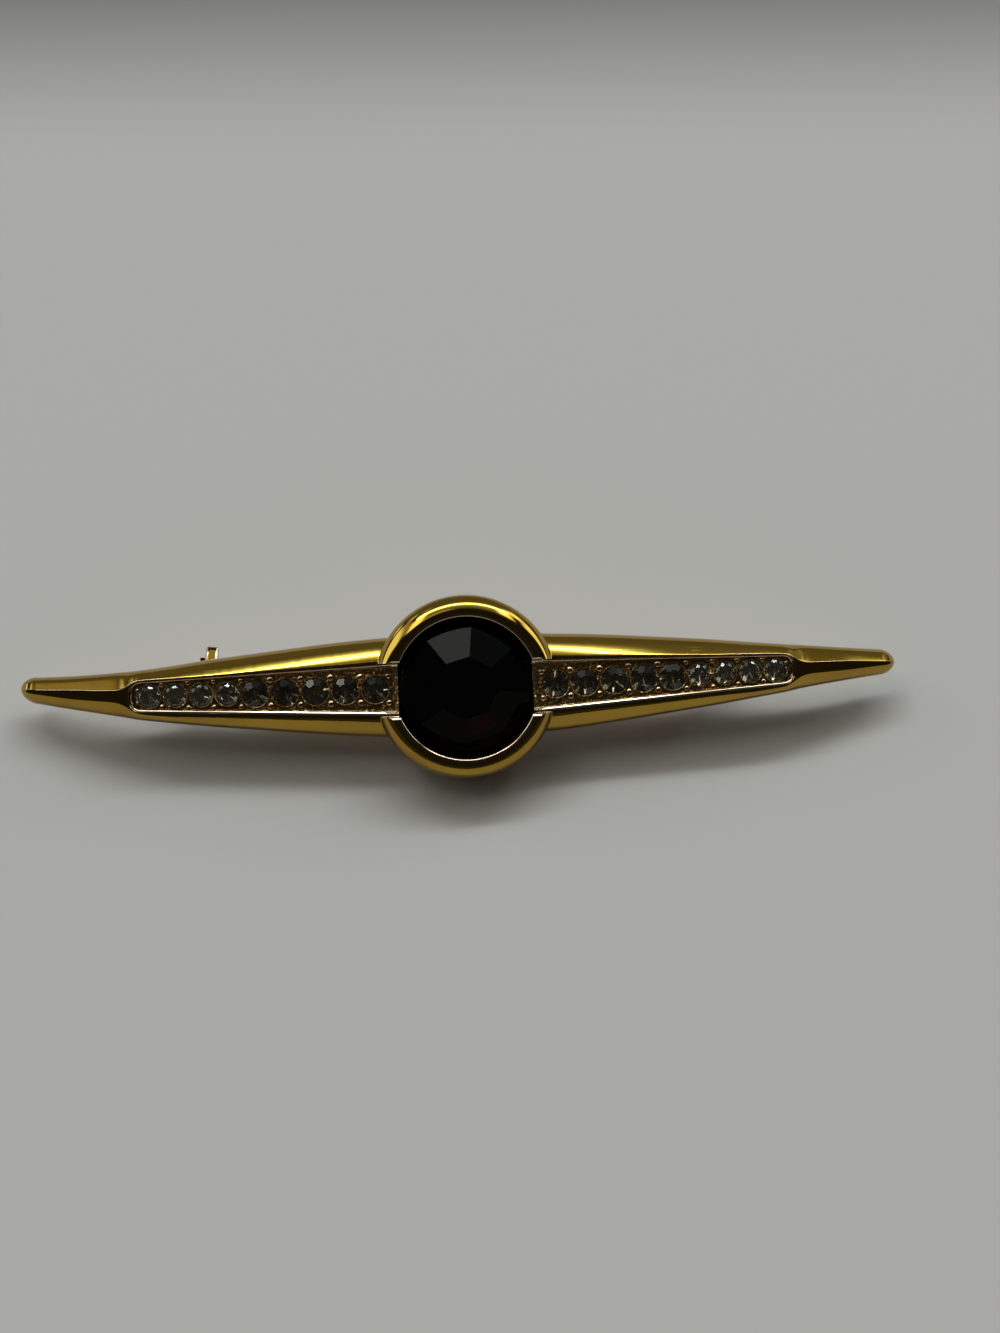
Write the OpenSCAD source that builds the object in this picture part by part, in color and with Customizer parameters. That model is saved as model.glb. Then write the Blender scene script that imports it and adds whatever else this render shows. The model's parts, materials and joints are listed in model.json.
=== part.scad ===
// Bar brooch: two slender tapered arms either side of a raised ring. The ring holds a faceted
// dark red glass stone, a tray of small crystals lies along each arm, and a pin runs across
// the back. Everything is drawn face up, in millimetres, with +X along the bar, +Y to the
// brooch's upper edge and +Z out of its face. laid() then leans the whole brooch towards -Y
// until it lies on a table, on the ring's lower edge and the two fittings on the back.

/* [Arms] */
// Length of an arm, from the middle of the ring to the tip
arm_length = 42.9; // [41.5:0.1:46]
// Height of the arm's flat top over its back, where it leaves the ring
arm_height = 3.2; // [3.1:0.05:3.4]
// Height of the flat top at the outer end of the tray
arm_height_out = 2.7; // [2.6:0.05:3]
// How far the back of the left arm's tip is bent down
left_tip_drop = 2.6; // [1:0.1:2.8]
// How far the back of the right arm's tip is bent down
right_tip_drop = 1.7; // [1:0.1:2.2]
// Length of the rounded tip
tip_round = 1.7; // [1.2:0.1:2.4]
// Angle by which the right arm rises from the left arm's line
right_arm_turn = 1.75; // [0:0.1:2.5]
// How far the left arm's tip has been bent up
left_tip_bend = 0.7; // [0:0.05:0.9]
// How far the right arm's tip has been bent down
right_tip_bend = 0.26; // [0:0.02:0.6]

/* [Ring] */
// Outer radius of the ring round the stone
ring_radius = 8.85; // [8.75:0.05:9.2]
// Height of the ring's crown over the back
ring_height = 4.6; // [4.4:0.1:5]
// Radius of the cup that holds the stone
cup_radius = 6.86; // [6.84:0.01:6.9]
// Width of the level crown beside the cup
crown_width = 0.8; // [0.5:0.05:0.9]
// How far the ring's outer wall curves in towards its back
ring_curl = 0.5; // [0.3:0.05:0.6]
// Thickness of the closed back under the stone
cup_floor = 0.8; // [0.5:0.1:1]

/* [Centre stone] */
// Radius of the stone's girdle
stone_radius = 6.8; // [6.7:0.02:6.8]
// Radius at which the eight large facets start
facet_radius = 6.15; // [6:0.05:6.2]
// Radius of the flat table, to its corners
table_radius = 3.05; // [2.6:0.05:3.4]
// Height of the table over the brooch's back
table_height = 4.5; // [4.2:0.1:4.8]
// Angle by which the facets are turned
stone_turn = -6.5; // [-22:0.5:22]

/* [Trays] */
// Distance from the middle of the ring to the tray's inner end
tray_start = 6.5; // [6.4:0.1:6.8]
// Distance from the middle of the ring to the tray's outer end
tray_end = 32.1; // [32:0.1:32.3]
// Width of the tray at its inner end
tray_width = 4.88; // [4.7:0.02:5]
// Width of the tray at its outer end, if its corners were square
tray_width_out = 2.8; // [2.7:0.05:2.9]
// Radius of the two outer corners
tray_corner = 1; // [0.6:0.1:1.2]
// Width of the tray's rim
rim_width = 0.25; // [0.2:0.05:0.3]
// Depth of the tray's floor under the arm's flat top
floor_depth = 0.33; // [0.2:0.01:0.35]
// Depth of the tray's underside below the arm's flat top
tray_depth = 1.5; // [1.45:0.05:1.6]

/* [Crystals] */
// Radius of the larger crystals, next to the ring
large_radius = 1.3; // [1.2:0.02:1.34]
// Radius of the smaller crystals, towards the tip
small_radius = 1.1; // [1:0.02:1.14]
// Number of larger crystals in a row
large_count = 5; // [3:1:5]
// Number of smaller crystals in a row
small_count = 4; // [2:1:4]
// Distance from the middle of the ring to the first crystal
first_crystal = 8.7; // [8.6:0.1:8.8]
// Spacing of the larger crystals
large_pitch = 2.87; // [2.8:0.01:2.9]
// Spacing of the smaller crystals
small_pitch = 2.48; // [2.4:0.01:2.5]

/* [Pin and fittings] */
// Distance of the hinge and the catch from the middle of the ring
fitting_place = 25.4; // [24:0.2:27]
// Height of the pin's line above the middle of the brooch, towards its upper edge
pin_rise = 1.3; // [1:0.1:1.6]
// Depth of the pin's line behind the back
pin_depth = 3.2; // [3:0.1:3.6]
// Radius of the pin
pin_radius = 0.4; // [0.35:0.05:0.5]
// Radius of the catch's hook
barrel_radius = 1.3; // [1.2:0.05:1.4]
// How far the pin's point reaches past the catch
pin_overrun = 2.6; // [2:0.2:5]

/* [Hidden] */
crystal_count = large_count + small_count;
$fn = 48;

left = 0;
right = 1;
gap = 0.04; // clearance between pieces that are set into each other
facets = 8; // round the table of every stone
past = 0.5; // how far a cutting shape runs past the face that it cuts
step_height = 2.78; // height under the tray's inner end, over the edge of the stone
hinge_width = 2.4; // over both ears of the hinge
hinge_slot = 0.9; // gap between the ears, where the pin's eye sits
rivet_radius = 0.3; // rivet through the ears

// Arm sections: distance from the middle of the ring, half width, half width of the flat top
DISTANCE = 0;
HALF_WIDTH = 1;
HALF_FLAT = 2;
ARM_ROWS = [
    [ 6.2, 4.88, 3.00],
    [ 9.0, 4.72, 2.82],
    [12.0, 4.50, 2.63],
    [16.0, 4.12, 2.42],
    [20.0, 3.70, 2.17],
    [24.0, 3.27, 1.92],
    [28.0, 2.77, 1.74],
    [30.4, 2.48, 1.62],
    [31.4, 2.36, 1.50],
    [32.0, 2.28, 1.22],
    [32.6, 2.21, 0.86],
    [33.3, 2.13, 0.63],
    [35.0, 1.93, 0.54],
    [37.5, 1.66, 0.47],
    [39.4, 1.47, 0.36],
    [arm_length - tip_round, 1.30, 0.24]];
// The flank towards the brooch's upper edge gets steeper outwards, sooner on the right arm:
// distance and tilt, for each arm
UPPER_FLANK_START = [
    [[ring_radius, 33], [ring_radius + 22, 44]],
    [[ring_radius, 33], [ring_radius + 11.6, 44]]];
lower_flank_start = 31; // tilt of the other flank where it leaves the flat top
flank_end = 46; // tilt of both flanks where they reach the side
// Rounding between a flank and the side under it: distance and radius
UPPER_EDGE = [[28, 2.2], [34, 1.6]];
lower_edge = 1.4;
LOWER_FLAT_EXTRA = [[28, 0.28], [34, 0]]; // the flat top is wider on its lower side
tip_slopes = [0.27, 0.215]; // fall of the top, per millimetre, on its way to each tip
tip_curve = 1.5; // length of the bend past the tray where that fall starts
shoulder_start = 26; // tilt of the ring's shoulder where it leaves the crown
shoulder_end = 68; // tilt of the shoulder where it reaches the wall
ring_edge = 0.4; // rounding between the shoulder and the wall under it
arm_curl = 0.42; // how far an arm's side curves in on its way to the back
curl_steps = 3; // faces of the side
flank_steps = 4;
edge_steps = 3;
tip_steps = 5; // sections round a tip
tip_angle = 80; // how far round the tip they go
corner_steps = 6; // faces round a corner of a tray
bend_start = 28; // distance at which the tips start to bend

// Points on an arc that starts at a given point. The angles are the surface's tilt from level.
function arc_points(origin, radius, start, end, steps) =
    [for (i = [1:steps]) let (t = start + (end - start) * i / steps) [
        origin[0] + radius * (sin(t) - sin(start)),
        origin[1] - radius * (cos(start) - cos(t))]];

// From the edge of a level top down a flank that gets steeper, and round into the side
function flank(inner, outer, top, start, end, edge, steps) =
    let (
        edge_width = edge * (1 - sin(end)),
        radius = (outer - inner - edge_width) / (sin(end) - sin(start)),
        slope = arc_points([inner, top], radius, start, end, steps))
    concat([[inner, top]], slope, arc_points(slope[steps - 1], edge, end, 90, edge_steps));

function reversed(points) = [for (i = [len(points) - 1:-1:0]) points[i]];

arm_fall = atan((arm_height - arm_height_out) / (tray_end - ring_radius));
arm_turns = [0, right_arm_turn];
tip_bends = [left_tip_bend, -right_tip_bend];
tip_drops = [left_tip_drop, right_tip_drop];

// Outside of the ring: radius and height of each point from its back to its crown
wall_foot = 2.2; // height at which the wall starts to curve in towards the back
wall_steps = 4;
shoulder_steps = 6;
RING_OUTLINE = concat(
    [for (i = [0:wall_steps]) let (t = 90 * i / wall_steps) [
        ring_radius - ring_curl * (1 - sin(t)),
        wall_foot * (1 - cos(t))]],
    reversed(flank(
        cup_radius + crown_width, ring_radius, ring_height,
        shoulder_start, shoulder_end, ring_edge, shoulder_steps)));

// The lean that brings the fittings and the ring's lower edge onto one table
heel = RING_OUTLINE[0][0];
foot_reach = norm([heel + pin_rise, pin_depth]);
lean = atan2(pin_depth, heel + pin_rise) + asin(barrel_radius / foot_reach);
drop = heel * sin(lean);
y_top = max([for (p = RING_OUTLINE) p[0] * cos(lean) - p[1] * sin(lean)]);
y_bottom = -max([for (p = RING_OUTLINE) p[0] * cos(lean) + p[1] * sin(lean)]);

function column(rows, distance, index) =
    lookup(distance, [for (row = rows) [row[DISTANCE], row[index]]]);

// Line of an arm: straight, turned where it leaves the ring, and bent near its tip
function arm_line(side, distance) =
    max(distance - ring_radius, 0) * tan(arm_turns[side])
    + tip_bends[side] * pow(max(distance - bend_start, 0) / (arm_length - bend_start), 2);

// Height of the flat top, which bends past the tray and falls towards the tip
function arm_top(side, distance) =
    let (
        over = max(distance - tray_end, 0),
        fallen = over < tip_curve ? pow(over, 2) / 2 / tip_curve : over - tip_curve / 2)
    arm_height - (distance - ring_radius) * tan(arm_fall) - tip_slopes[side] * fallen;

// Height of the back, level along the tray and then bent down
function arm_back(side, distance) =
    -tip_drops[side] * pow(max(distance - tray_end, 0) / (arm_length - tray_end), 1.5);

// Half of a section, from the back round the side to the flat top
function half_section(half, flat, height, start, edge) =
    let (
        upper = reversed(flank(flat, half, height, start, flank_end, edge, flank_steps)),
        side_height = upper[0][1])
    concat(
        [for (i = [0:curl_steps - 1]) let (t = 90 * i / curl_steps)
            [half - arm_curl * (1 - sin(t)), side_height * (1 - cos(t))]],
        upper);

function full_section(side, distance, height) =
    let (
        half = column(ARM_ROWS, distance, HALF_WIDTH),
        flat = column(ARM_ROWS, distance, HALF_FLAT),
        upper = half_section(half, flat, height,
            lookup(distance, UPPER_FLANK_START[side]), lookup(distance, UPPER_EDGE)),
        lower = half_section(half, flat + lookup(distance, LOWER_FLAT_EXTRA), height,
            lower_flank_start, lower_edge))
    concat(upper, [for (p = reversed(lower)) [-p[0], p[1]]]);

// Sections of the rounded tip are the last full section, shrunk about its middle
function tip_distance(i) = arm_length - tip_round * (1 - sin(tip_angle * i / tip_steps));
function tip_scale(i) = cos(tip_angle * i / tip_steps);

function arm_section(side, distance, scale = 1) =
    let (
        full = min(distance, arm_length - tip_round),
        back = arm_back(side, full),
        height = arm_top(side, full) - back,
        lowered = tip_slopes[side] * (distance - full))
    [for (p = full_section(side, full, height)) [
        distance,
        arm_line(side, distance) + p[0] * scale,
        back + height / 2 - lowered + (p[1] - height / 2) * scale]];

// One arm along +X, as a skin over its sections
module arm(side) {
    rows = concat(
        [for (row = ARM_ROWS) arm_section(side, row[DISTANCE])],
        [for (i = [1:tip_steps]) arm_section(side, tip_distance(i), tip_scale(i))],
        [arm_section(side, arm_length, tip_scale(tip_steps) / 2)]);
    n = len(rows[0]);
    last = len(rows) - 1;
    polyhedron(
        points = [for (row = rows) for (p = row) p],
        faces = concat(
            [[for (k = [0:n - 1]) k]],
            [for (r = [0:last - 1]) for (k = [0:n - 1])
                let (a = r * n + k, b = r * n + (k + 1) % n)
                each [[a, a + n, b], [b, a + n, b + n]]],
            [[for (k = [n - 1:-1:0]) last * n + k]]),
        convexity = 4);
}

// Places its children along an arm: x is the distance from the middle of the ring, y is
// across the arm, and z = 0 is the arm's sloping flat top
module on_arm(side) {
    mirror([side == left ? 1 : 0, 0, 0])
    translate([ring_radius, 0, arm_height])
    rotate([0, arm_fall, arm_turns[side]])
    translate([-ring_radius, 0, 0])
        children();
}

module mirrored_arm(side) {
    mirror([side == left ? 1 : 0, 0, 0]) arm(side);
}

// Outline of a tray, grown or shrunk by a margin, with its inner end at x = start
module tray_outline(start, margin = 0) {
    taper = (tray_width - tray_width_out) / 2 / (tray_end - tray_start);
    end = tray_end + margin;
    corner = tray_corner + margin;
    side_at_end = tray_width_out / 2 + margin;
    side_at_start = side_at_end + taper * (end - start);
    // Each outer corner is a quarter circle, and the straight side runs into its start
    arc = [for (i = [0:corner_steps]) let (t = 90 * i / corner_steps) [
        end - corner + corner * sin(t),
        side_at_end - corner + corner * cos(t)]];
    upper = concat([[start, side_at_start]], arc);
    polygon(concat(upper, [for (p = reversed(upper)) [p[0], -p[1]]]));
}

function crystal_place(i) = first_crystal + (i <= large_count
    ? (i - 1) * large_pitch
    : (large_count - 1) * large_pitch + (large_pitch + small_pitch) / 2
        + (i - large_count - 1) * small_pitch);
function crystal_radius(i) = i <= large_count ? large_radius : small_radius;

module ring_outside() {
    rotate_extrude() polygon(concat([[0, 0]], RING_OUTLINE, [[0, ring_height]]));
}

module cup() {
    rim_bevel = 0.1;
    translate([0, 0, cup_floor]) cylinder(r = cup_radius, h = ring_height);
    translate([0, 0, ring_height - rim_bevel])
        cylinder(r1 = cup_radius, r2 = cup_radius + 2 * rim_bevel, h = 2 * rim_bevel);
}

// Channel for a tray, cut along the arm and on through the ring
module channel(side) {
    cut_start = ring_radius / 2;
    on_arm(side)
    translate([0, 0, -tray_depth - gap])
    linear_extrude(tray_depth + ring_height)
        tray_outline(cut_start, gap);
}

// The gap in the ring opens upwards, with sloping walls
module ring_gap(side) {
    opening = 0.2; // how much wider each side of the gap is at the ring's crown
    foot = tray_width / 2 + gap;
    foot_height = 0.12;
    rise = ring_height - arm_height;
    on_arm(side)
    translate([ring_radius / 2, 0, foot_height])
    rotate([90, 0, 90])
    linear_extrude(ring_radius / 2 + past)
    polygon([
        [-foot, 0], [foot, 0],
        [foot + 2 * opening, 2 * rise], [-foot - 2 * opening, 2 * rise]]);
}

// Soldered plate under a fitting, on the brooch's back
module fitting_plate(length) {
    plate = 0.45;
    overlap = 0.3;
    width = 2.4;
    translate([-length / 2, -width / 2, -plate]) cube([length, width, plate + overlap]);
}

// Hook that holds the pin, with a small thumb tab that shows over the arm's upper edge
module catch() {
    length = 2.6;
    bore = 0.75;
    mouth = 1;
    tab_width = 1.2;
    tab_top = 4.05;
    tab_thickness = 0.6;
    neck = 1.8;
    translate([-fitting_place, pin_rise, 0]) {
        fitting_plate(3.4);
        difference() {
            union() {
                translate([-length / 2, -neck / 2, -pin_depth])
                    cube([length, neck, pin_depth]);
                translate([-length / 2, 0, -pin_depth])
                    rotate([0, 90, 0]) cylinder(r = barrel_radius, h = length);
                translate([length / 2 - tab_width, 0, -pin_depth])
                    cube([tab_width, tab_top - pin_rise, tab_thickness]);
            }
            translate([-length / 2 - past, 0, -pin_depth])
                rotate([0, 90, 0]) cylinder(r = bore, h = length + 2 * past);
            translate([-length / 2 - past, -barrel_radius - past, -pin_depth - mouth / 2])
                cube([length + 2 * past, barrel_radius + past, mouth]);
        }
    }
}

// Two ears with a rivet across them, on which the pin's eye sits. The radius of the ears
// brings them down to the table together with the catch.
module hinge() {
    ear_radius = (drop + (pin_rise - hinge_width / 2) * sin(lean)) / cos(lean) - pin_depth;
    neck = 1.6;
    bridge = 2;
    translate([fitting_place, pin_rise, 0]) {
        fitting_plate(3.4);
        difference() {
            union() {
                translate([-neck / 2, -hinge_width / 2, -pin_depth])
                    cube([neck, hinge_width, pin_depth]);
                translate([0, hinge_width / 2, -pin_depth])
                    rotate([90, 0, 0]) cylinder(r = ear_radius, h = hinge_width);
            }
            translate([-neck, -hinge_slot / 2, -pin_depth - neck])
                cube([2 * neck, hinge_slot, pin_depth + neck - bridge]);
        }
        translate([0, hinge_width / 2 - gap, -pin_depth])
            rotate([90, 0, 0]) cylinder(r = rivet_radius, h = hinge_width - 2 * gap);
    }
}

// One casting: both arms, the ring with its closed cup, and the soldered fittings
module body() {
    color("goldenrod")
    difference() {
        union() {
            ring_outside();
            mirrored_arm(left);
            mirrored_arm(right);
            catch();
            hinge();
        }
        cup();
        for (side = [left, right]) {
            channel(side);
            ring_gap(side);
        }
    }
}

// Tray with a rim, a lower floor and a round seat for each crystal. Its underside is
// stepped where its inner end reaches over the edge of the centre stone.
module stone_tray(side) {
    seat_floor = 0.12;
    color("rosybrown")
    difference() {
        on_arm(side)
        difference() {
            translate([0, 0, -tray_depth])
                linear_extrude(tray_depth) tray_outline(tray_start);
            translate([0, 0, -floor_depth])
                linear_extrude(tray_depth) tray_outline(tray_start - past, -rim_width);
            for (i = [1:crystal_count])
                translate([crystal_place(i), 0, -tray_depth + seat_floor])
                    cylinder(r = crystal_radius(i) + gap, h = 2 * tray_depth);
        }
        cylinder(r = cup_radius + gap, h = step_height);
    }
}

// Small round crystal: a pointed underside, a thin girdle and eight facets round a table
module crystal(side, i) {
    radius = crystal_radius(i);
    girdle = 0.14;
    crown = 0.36 * radius;
    pavilion = 0.7 * radius;
    girdle_top = -0.26;
    color("gainsboro")
    on_arm(side)
    translate([crystal_place(i), 0, girdle_top]) {
        cylinder(r1 = radius, r2 = 0.5 * radius, h = crown, $fn = facets);
        translate([0, 0, -girdle]) cylinder(r = radius, h = girdle);
        translate([0, 0, -girdle - pavilion])
            cylinder(r1 = 0.2, r2 = radius, h = pavilion);
    }
}

// Large stone: pavilion, girdle, a steep polished edge, eight facets and the table
module centre_stone() {
    girdle_low = 2;
    girdle_high = 2.3;
    facet_start = 3;
    inside = 0.1; // how far the part under the facets reaches into the polished edge
    point = cup_floor + gap;
    color([0.16, 0.01, 0.03])
    union() {
        translate([0, 0, point])
            cylinder(r1 = 1, r2 = stone_radius, h = girdle_low - point);
        translate([0, 0, girdle_low])
            cylinder(r = stone_radius, h = girdle_high - girdle_low);
        translate([0, 0, girdle_high])
            cylinder(r1 = stone_radius, r2 = facet_radius, h = facet_start - girdle_high);
        intersection() {
            translate([0, 0, facet_start - inside])
                cylinder(r = facet_radius, h = ring_height);
            rotate(stone_turn)
            translate([0, 0, facet_start])
                cylinder(
                    r1 = facet_radius / cos(180 / facets), r2 = table_radius,
                    h = table_height - facet_start, $fn = facets);
        }
    }
}

// Pin with its eye round the hinge's rivet and its point through the catch
module pin_stem() {
    eye_radius = 0.75;
    point_length = 3;
    point_radius = 0.08;
    stem = 2 * fitting_place + pin_overrun - point_length;
    color("khaki")
    translate([fitting_place, pin_rise, -pin_depth])
    difference() {
        union() {
            rotate([0, -90, 0]) cylinder(r = pin_radius, h = stem, $fn = 32);
            translate([-stem, 0, 0])
                rotate([0, -90, 0]) cylinder(r1 = pin_radius, r2 = point_radius, h = point_length);
            translate([0, hinge_slot / 2 - gap, 0])
                rotate([90, 0, 0]) cylinder(r = eye_radius, h = hinge_slot - 2 * gap);
        }
        translate([0, hinge_slot, 0])
            rotate([90, 0, 0]) cylinder(r = rivet_radius + gap, h = 2 * hinge_slot);
    }
}

// Leans the brooch back from face up until it lies on the table, its box centred on the origin
module laid() {
    translate([0, -(y_top + y_bottom) / 2, drop]) rotate([lean, 0, 0]) children();
}

laid() body();
laid() stone_tray(left);  // stone_tray_left
laid() stone_tray(right);  // stone_tray_right
laid() centre_stone();
laid() pin_stem();
for (i = [1:crystal_count]) {
    laid() crystal(left, i);
    laid() crystal(right, i);
}
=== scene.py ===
# %% [markdown]
# # A bar brooch, dressed round its CAD frame
# The real brooch is costume jewellery: one polished gold-plated casting with two long tapered
# arms, a raised ring that holds a dark red glass stone, and two pinker trays of small foiled
# crystals. The CAD model gives the sizes and the places. This script gives each piece the
# rounded edges, cut facets and worn polish that the camera sees.

# %% Load the frame
import json
import random
from math import atan2, cos, degrees, hypot, pi, radians, sin, tan

import bmesh
import bpy
from mathutils import Matrix, Vector


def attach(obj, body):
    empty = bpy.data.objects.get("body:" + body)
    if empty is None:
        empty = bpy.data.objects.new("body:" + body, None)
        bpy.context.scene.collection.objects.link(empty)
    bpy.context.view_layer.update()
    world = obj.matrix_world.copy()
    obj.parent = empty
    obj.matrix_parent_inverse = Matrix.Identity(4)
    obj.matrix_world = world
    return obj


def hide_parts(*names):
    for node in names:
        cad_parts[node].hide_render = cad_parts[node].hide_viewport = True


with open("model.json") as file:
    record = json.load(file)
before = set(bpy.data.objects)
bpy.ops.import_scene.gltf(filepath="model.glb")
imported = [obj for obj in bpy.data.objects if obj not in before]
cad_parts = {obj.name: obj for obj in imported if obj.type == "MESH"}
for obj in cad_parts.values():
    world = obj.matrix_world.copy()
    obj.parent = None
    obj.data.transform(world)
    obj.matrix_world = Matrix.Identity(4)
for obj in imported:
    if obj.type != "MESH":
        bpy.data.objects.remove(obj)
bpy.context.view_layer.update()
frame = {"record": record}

# %% [markdown]
# ## Where the brooch lies
# Each piece is drawn face up in millimetres, with +X along the bar and +Z out of its face. The
# real one rests on its catch and hinge and on the ring's lower edge, so its face leans. The
# record's mount on the flat back tells where that back is and how far it leans, and one
# matrix made from it brings every piece into place.

# %% The lean and the place of the back
back = next(mount for mount in frame["record"]["mounts"] if mount["name"] == "back")
LEAN = atan2(back["axis"][1], -back["axis"][2])
MILLIMETRE = 0.001
LAID = (Matrix.Translation(back["pos_m"]) @ Matrix.Rotation(LEAN, 4, "X")
        @ Matrix.Scale(MILLIMETRE, 4))
print(f"the face leans {degrees(LEAN):.1f} degrees")

# %% [markdown]
# ## Camera
# The camera looks at the brooch's face from about 20 cm, a few degrees off straight on. The view
# direction is given in the brooch's own axes, and the lens by its focal length in the photo's
# pixels. That length is assumed, and the distance follows from it and the brooch's size.

# %% Camera at the photo's angle
VIEW_ABOVE, VIEW_LEFT, VIEW_ROLL = radians(4.8), radians(3.909), radians(-1.482)
VIEW_DISTANCE = 195.44
VIEW_SHIFT = Vector((3.502, 1.713))
FOCAL_PIXELS, PHOTO_HEIGHT = 2000, 1333
SENSOR_WIDTH, NEAREST = 36, 0.01

toward = Vector((-sin(VIEW_LEFT), sin(VIEW_ABOVE) * cos(VIEW_LEFT),
                 cos(VIEW_ABOVE) * cos(VIEW_LEFT)))
level_up = (Vector((0, 1, 0)) - toward.y * toward).normalized()
level_right = level_up.cross(toward)
right = cos(VIEW_ROLL) * level_right + sin(VIEW_ROLL) * level_up
up = cos(VIEW_ROLL) * level_up - sin(VIEW_ROLL) * level_right
turned = Matrix((right, up, toward)).transposed().to_4x4()
turned.translation = VIEW_DISTANCE * toward + VIEW_SHIFT.x * right + VIEW_SHIFT.y * up

camera_data = bpy.data.cameras.new("camera")
camera_data.sensor_width = SENSOR_WIDTH
camera_data.lens = SENSOR_WIDTH * FOCAL_PIXELS / PHOTO_HEIGHT
camera_data.clip_start = NEAREST
camera = bpy.data.objects.new("camera", camera_data)
camera.matrix_world = LAID @ turned @ Matrix.Scale(1 / MILLIMETRE, 4)
bpy.context.scene.collection.objects.link(camera)
bpy.context.scene.camera = camera
bpy.context.scene.view_settings.view_transform = "Standard"
print("camera at", [round(v, 4) for v in camera.matrix_world.translation])

# %% [markdown]
# ## Helpers for shapes
# The brooch was cast from a carved master. A carver works along the bar from one cross-section
# to the next, so a long shape is drawn here as an outline that is extruded from section to
# section. That keeps each section true, which stretching a box would not.

# %% Skins over sections
def skin(rows):
    """A closed solid: the first row is drawn as a loop, capped, and extruded row by row."""
    bm = bmesh.new()
    loop = [bm.verts.new(point) for point in rows[0]]
    edges = [bm.edges.new(pair) for pair in zip(loop, loop[1:] + loop[:1])]
    bmesh.ops.contextual_create(bm, geom=edges)
    for row in rows[1:]:
        grown = bmesh.ops.extrude_edge_only(bm, edges=edges)["geom"]
        fresh = {item for item in grown if isinstance(item, bmesh.types.BMVert)}
        loop = [next(edge.other_vert(vert) for edge in vert.link_edges
                     if edge.other_vert(vert) in fresh) for vert in loop]
        for vert, point in zip(loop, row):
            vert.co = point
        edges = [bm.edges.get(pair) for pair in zip(loop, loop[1:] + loop[:1])]
    bmesh.ops.contextual_create(bm, geom=edges)
    bmesh.ops.recalc_face_normals(bm, faces=bm.faces)
    return bm


trial = skin([[(x, 0, 0), (x, 1, 0), (x, 0, 1)] for x in range(3)])
print("a three-sided trial bar:", len(trial.faces), "faces")
trial.free()

# %% [markdown]
# ## Turned shapes
# The ring, the rivet, the collars and the blanks of the stones are round. A goldsmith turns
# them on a lathe, and spin does the same with a profile of radii and heights.

# %% Lathe shapes
TOUCHING = 1e-5


def lathe(profile, steps):
    """Spins a profile of (radius, height) points about Z. Ends on the axis close themselves."""
    bm = bmesh.new()
    verts = [bm.verts.new((radius, 0, height)) for radius, height in profile]
    edges = [bm.edges.new(pair) for pair in zip(verts, verts[1:])]
    bmesh.ops.spin(bm, geom=verts + edges, axis=(0, 0, 1), cent=(0, 0, 0), angle=2 * pi,
                   steps=steps, use_merge=True)
    bmesh.ops.remove_doubles(bm, verts=bm.verts, dist=TOUCHING)
    bmesh.ops.recalc_face_normals(bm, faces=bm.faces)
    return bm


trial = lathe([(0, 0), (1, 0), (1, 1), (0, 1)], 24)
print("a trial drum of 24 steps:", len(trial.faces), "faces")
trial.free()

# %% [markdown]
# ## Blocks, places and arcs
# Small soldered parts are plain blocks with their edges filed round. What is drawn at the
# middle is moved to its place by a matrix, and a mirrored piece has its normals turned out
# again. Rounded stretches of an outline are worked out as arcs.

# %% Blocks, places and arcs
BEVEL_STEPS = 3


def block(low, high, bevel=0.0):
    """A box between two corners, with its edges rounded off."""
    low, high = Vector(low), Vector(high)
    bm = bmesh.new()
    bmesh.ops.create_cube(bm, size=1, matrix=Matrix.LocRotScale(
        (low + high) / 2, None, high - low))
    if bevel:
        bmesh.ops.bevel(bm, geom=bm.edges, offset=bevel, affect="EDGES",
                        segments=BEVEL_STEPS, profile=0.5, material=-1)
    return bm


def moved(bm, matrix):
    """Moves, turns or mirrors a drawing."""
    bmesh.ops.transform(bm, matrix=matrix, verts=bm.verts)
    if matrix.determinant() < 0:
        bmesh.ops.recalc_face_normals(bm, faces=bm.faces)
    return bm


def arc(centre, radius, start, end, steps):
    """Points on an arc. The angles are the surface's tilt, so 0 is the top and 90 the side."""
    return [(centre[0] + radius * sin(radians(start + (end - start) * i / steps)),
             centre[1] + radius * cos(radians(start + (end - start) * i / steps)))
            for i in range(steps + 1)]


print("a quarter circle in two steps:", [
    tuple(round(value, 2) for value in point) for point in arc((0, 0), 1, 0, 90, 2)])

# %% [markdown]
# ## Joining and cutting
# A boolean joins solids that are one casting on the real brooch, and cuts channels and seats.
# It runs on the drawing in millimetres, before the brooch is leaned back.

# %% Joining and cutting solids
def as_object(bm, name):
    """Turns a drawing into an object of the scene."""
    mesh = bpy.data.meshes.new(name)
    bm.to_mesh(mesh)
    bm.free()
    made = bpy.data.objects.new(name, mesh)
    bpy.context.scene.collection.objects.link(made)
    return made


def combined(base, tools, operation):
    """Joins tools to a solid ("UNION") or cuts them out of it ("DIFFERENCE")."""
    solid = as_object(base, "solid")
    helpers = [as_object(tool, "tool") for tool in tools]
    for helper in helpers:
        step = solid.modifiers.new("step", "BOOLEAN")
        step.operation = operation
        step.solver = "EXACT"
        step.object = helper
    depsgraph = bpy.context.evaluated_depsgraph_get()
    result = bmesh.new()
    result.from_mesh(solid.evaluated_get(depsgraph).to_mesh())
    solid.evaluated_get(depsgraph).to_mesh_clear()
    print(f"  {operation.lower()}: {sum(1 for e in result.edges if not e.is_manifold)} open edges")
    for thing in [solid] + helpers:
        mesh = thing.data
        bpy.data.objects.remove(thing)
        bpy.data.meshes.remove(mesh)
    return result


notched = combined(block((0, 0, 0), (2, 2, 2)), [block((1, 1, 1), (3, 3, 3))], "DIFFERENCE")
print("a trial block with a notched corner:", len(notched.faces), "faces")
notched.free()

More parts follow.
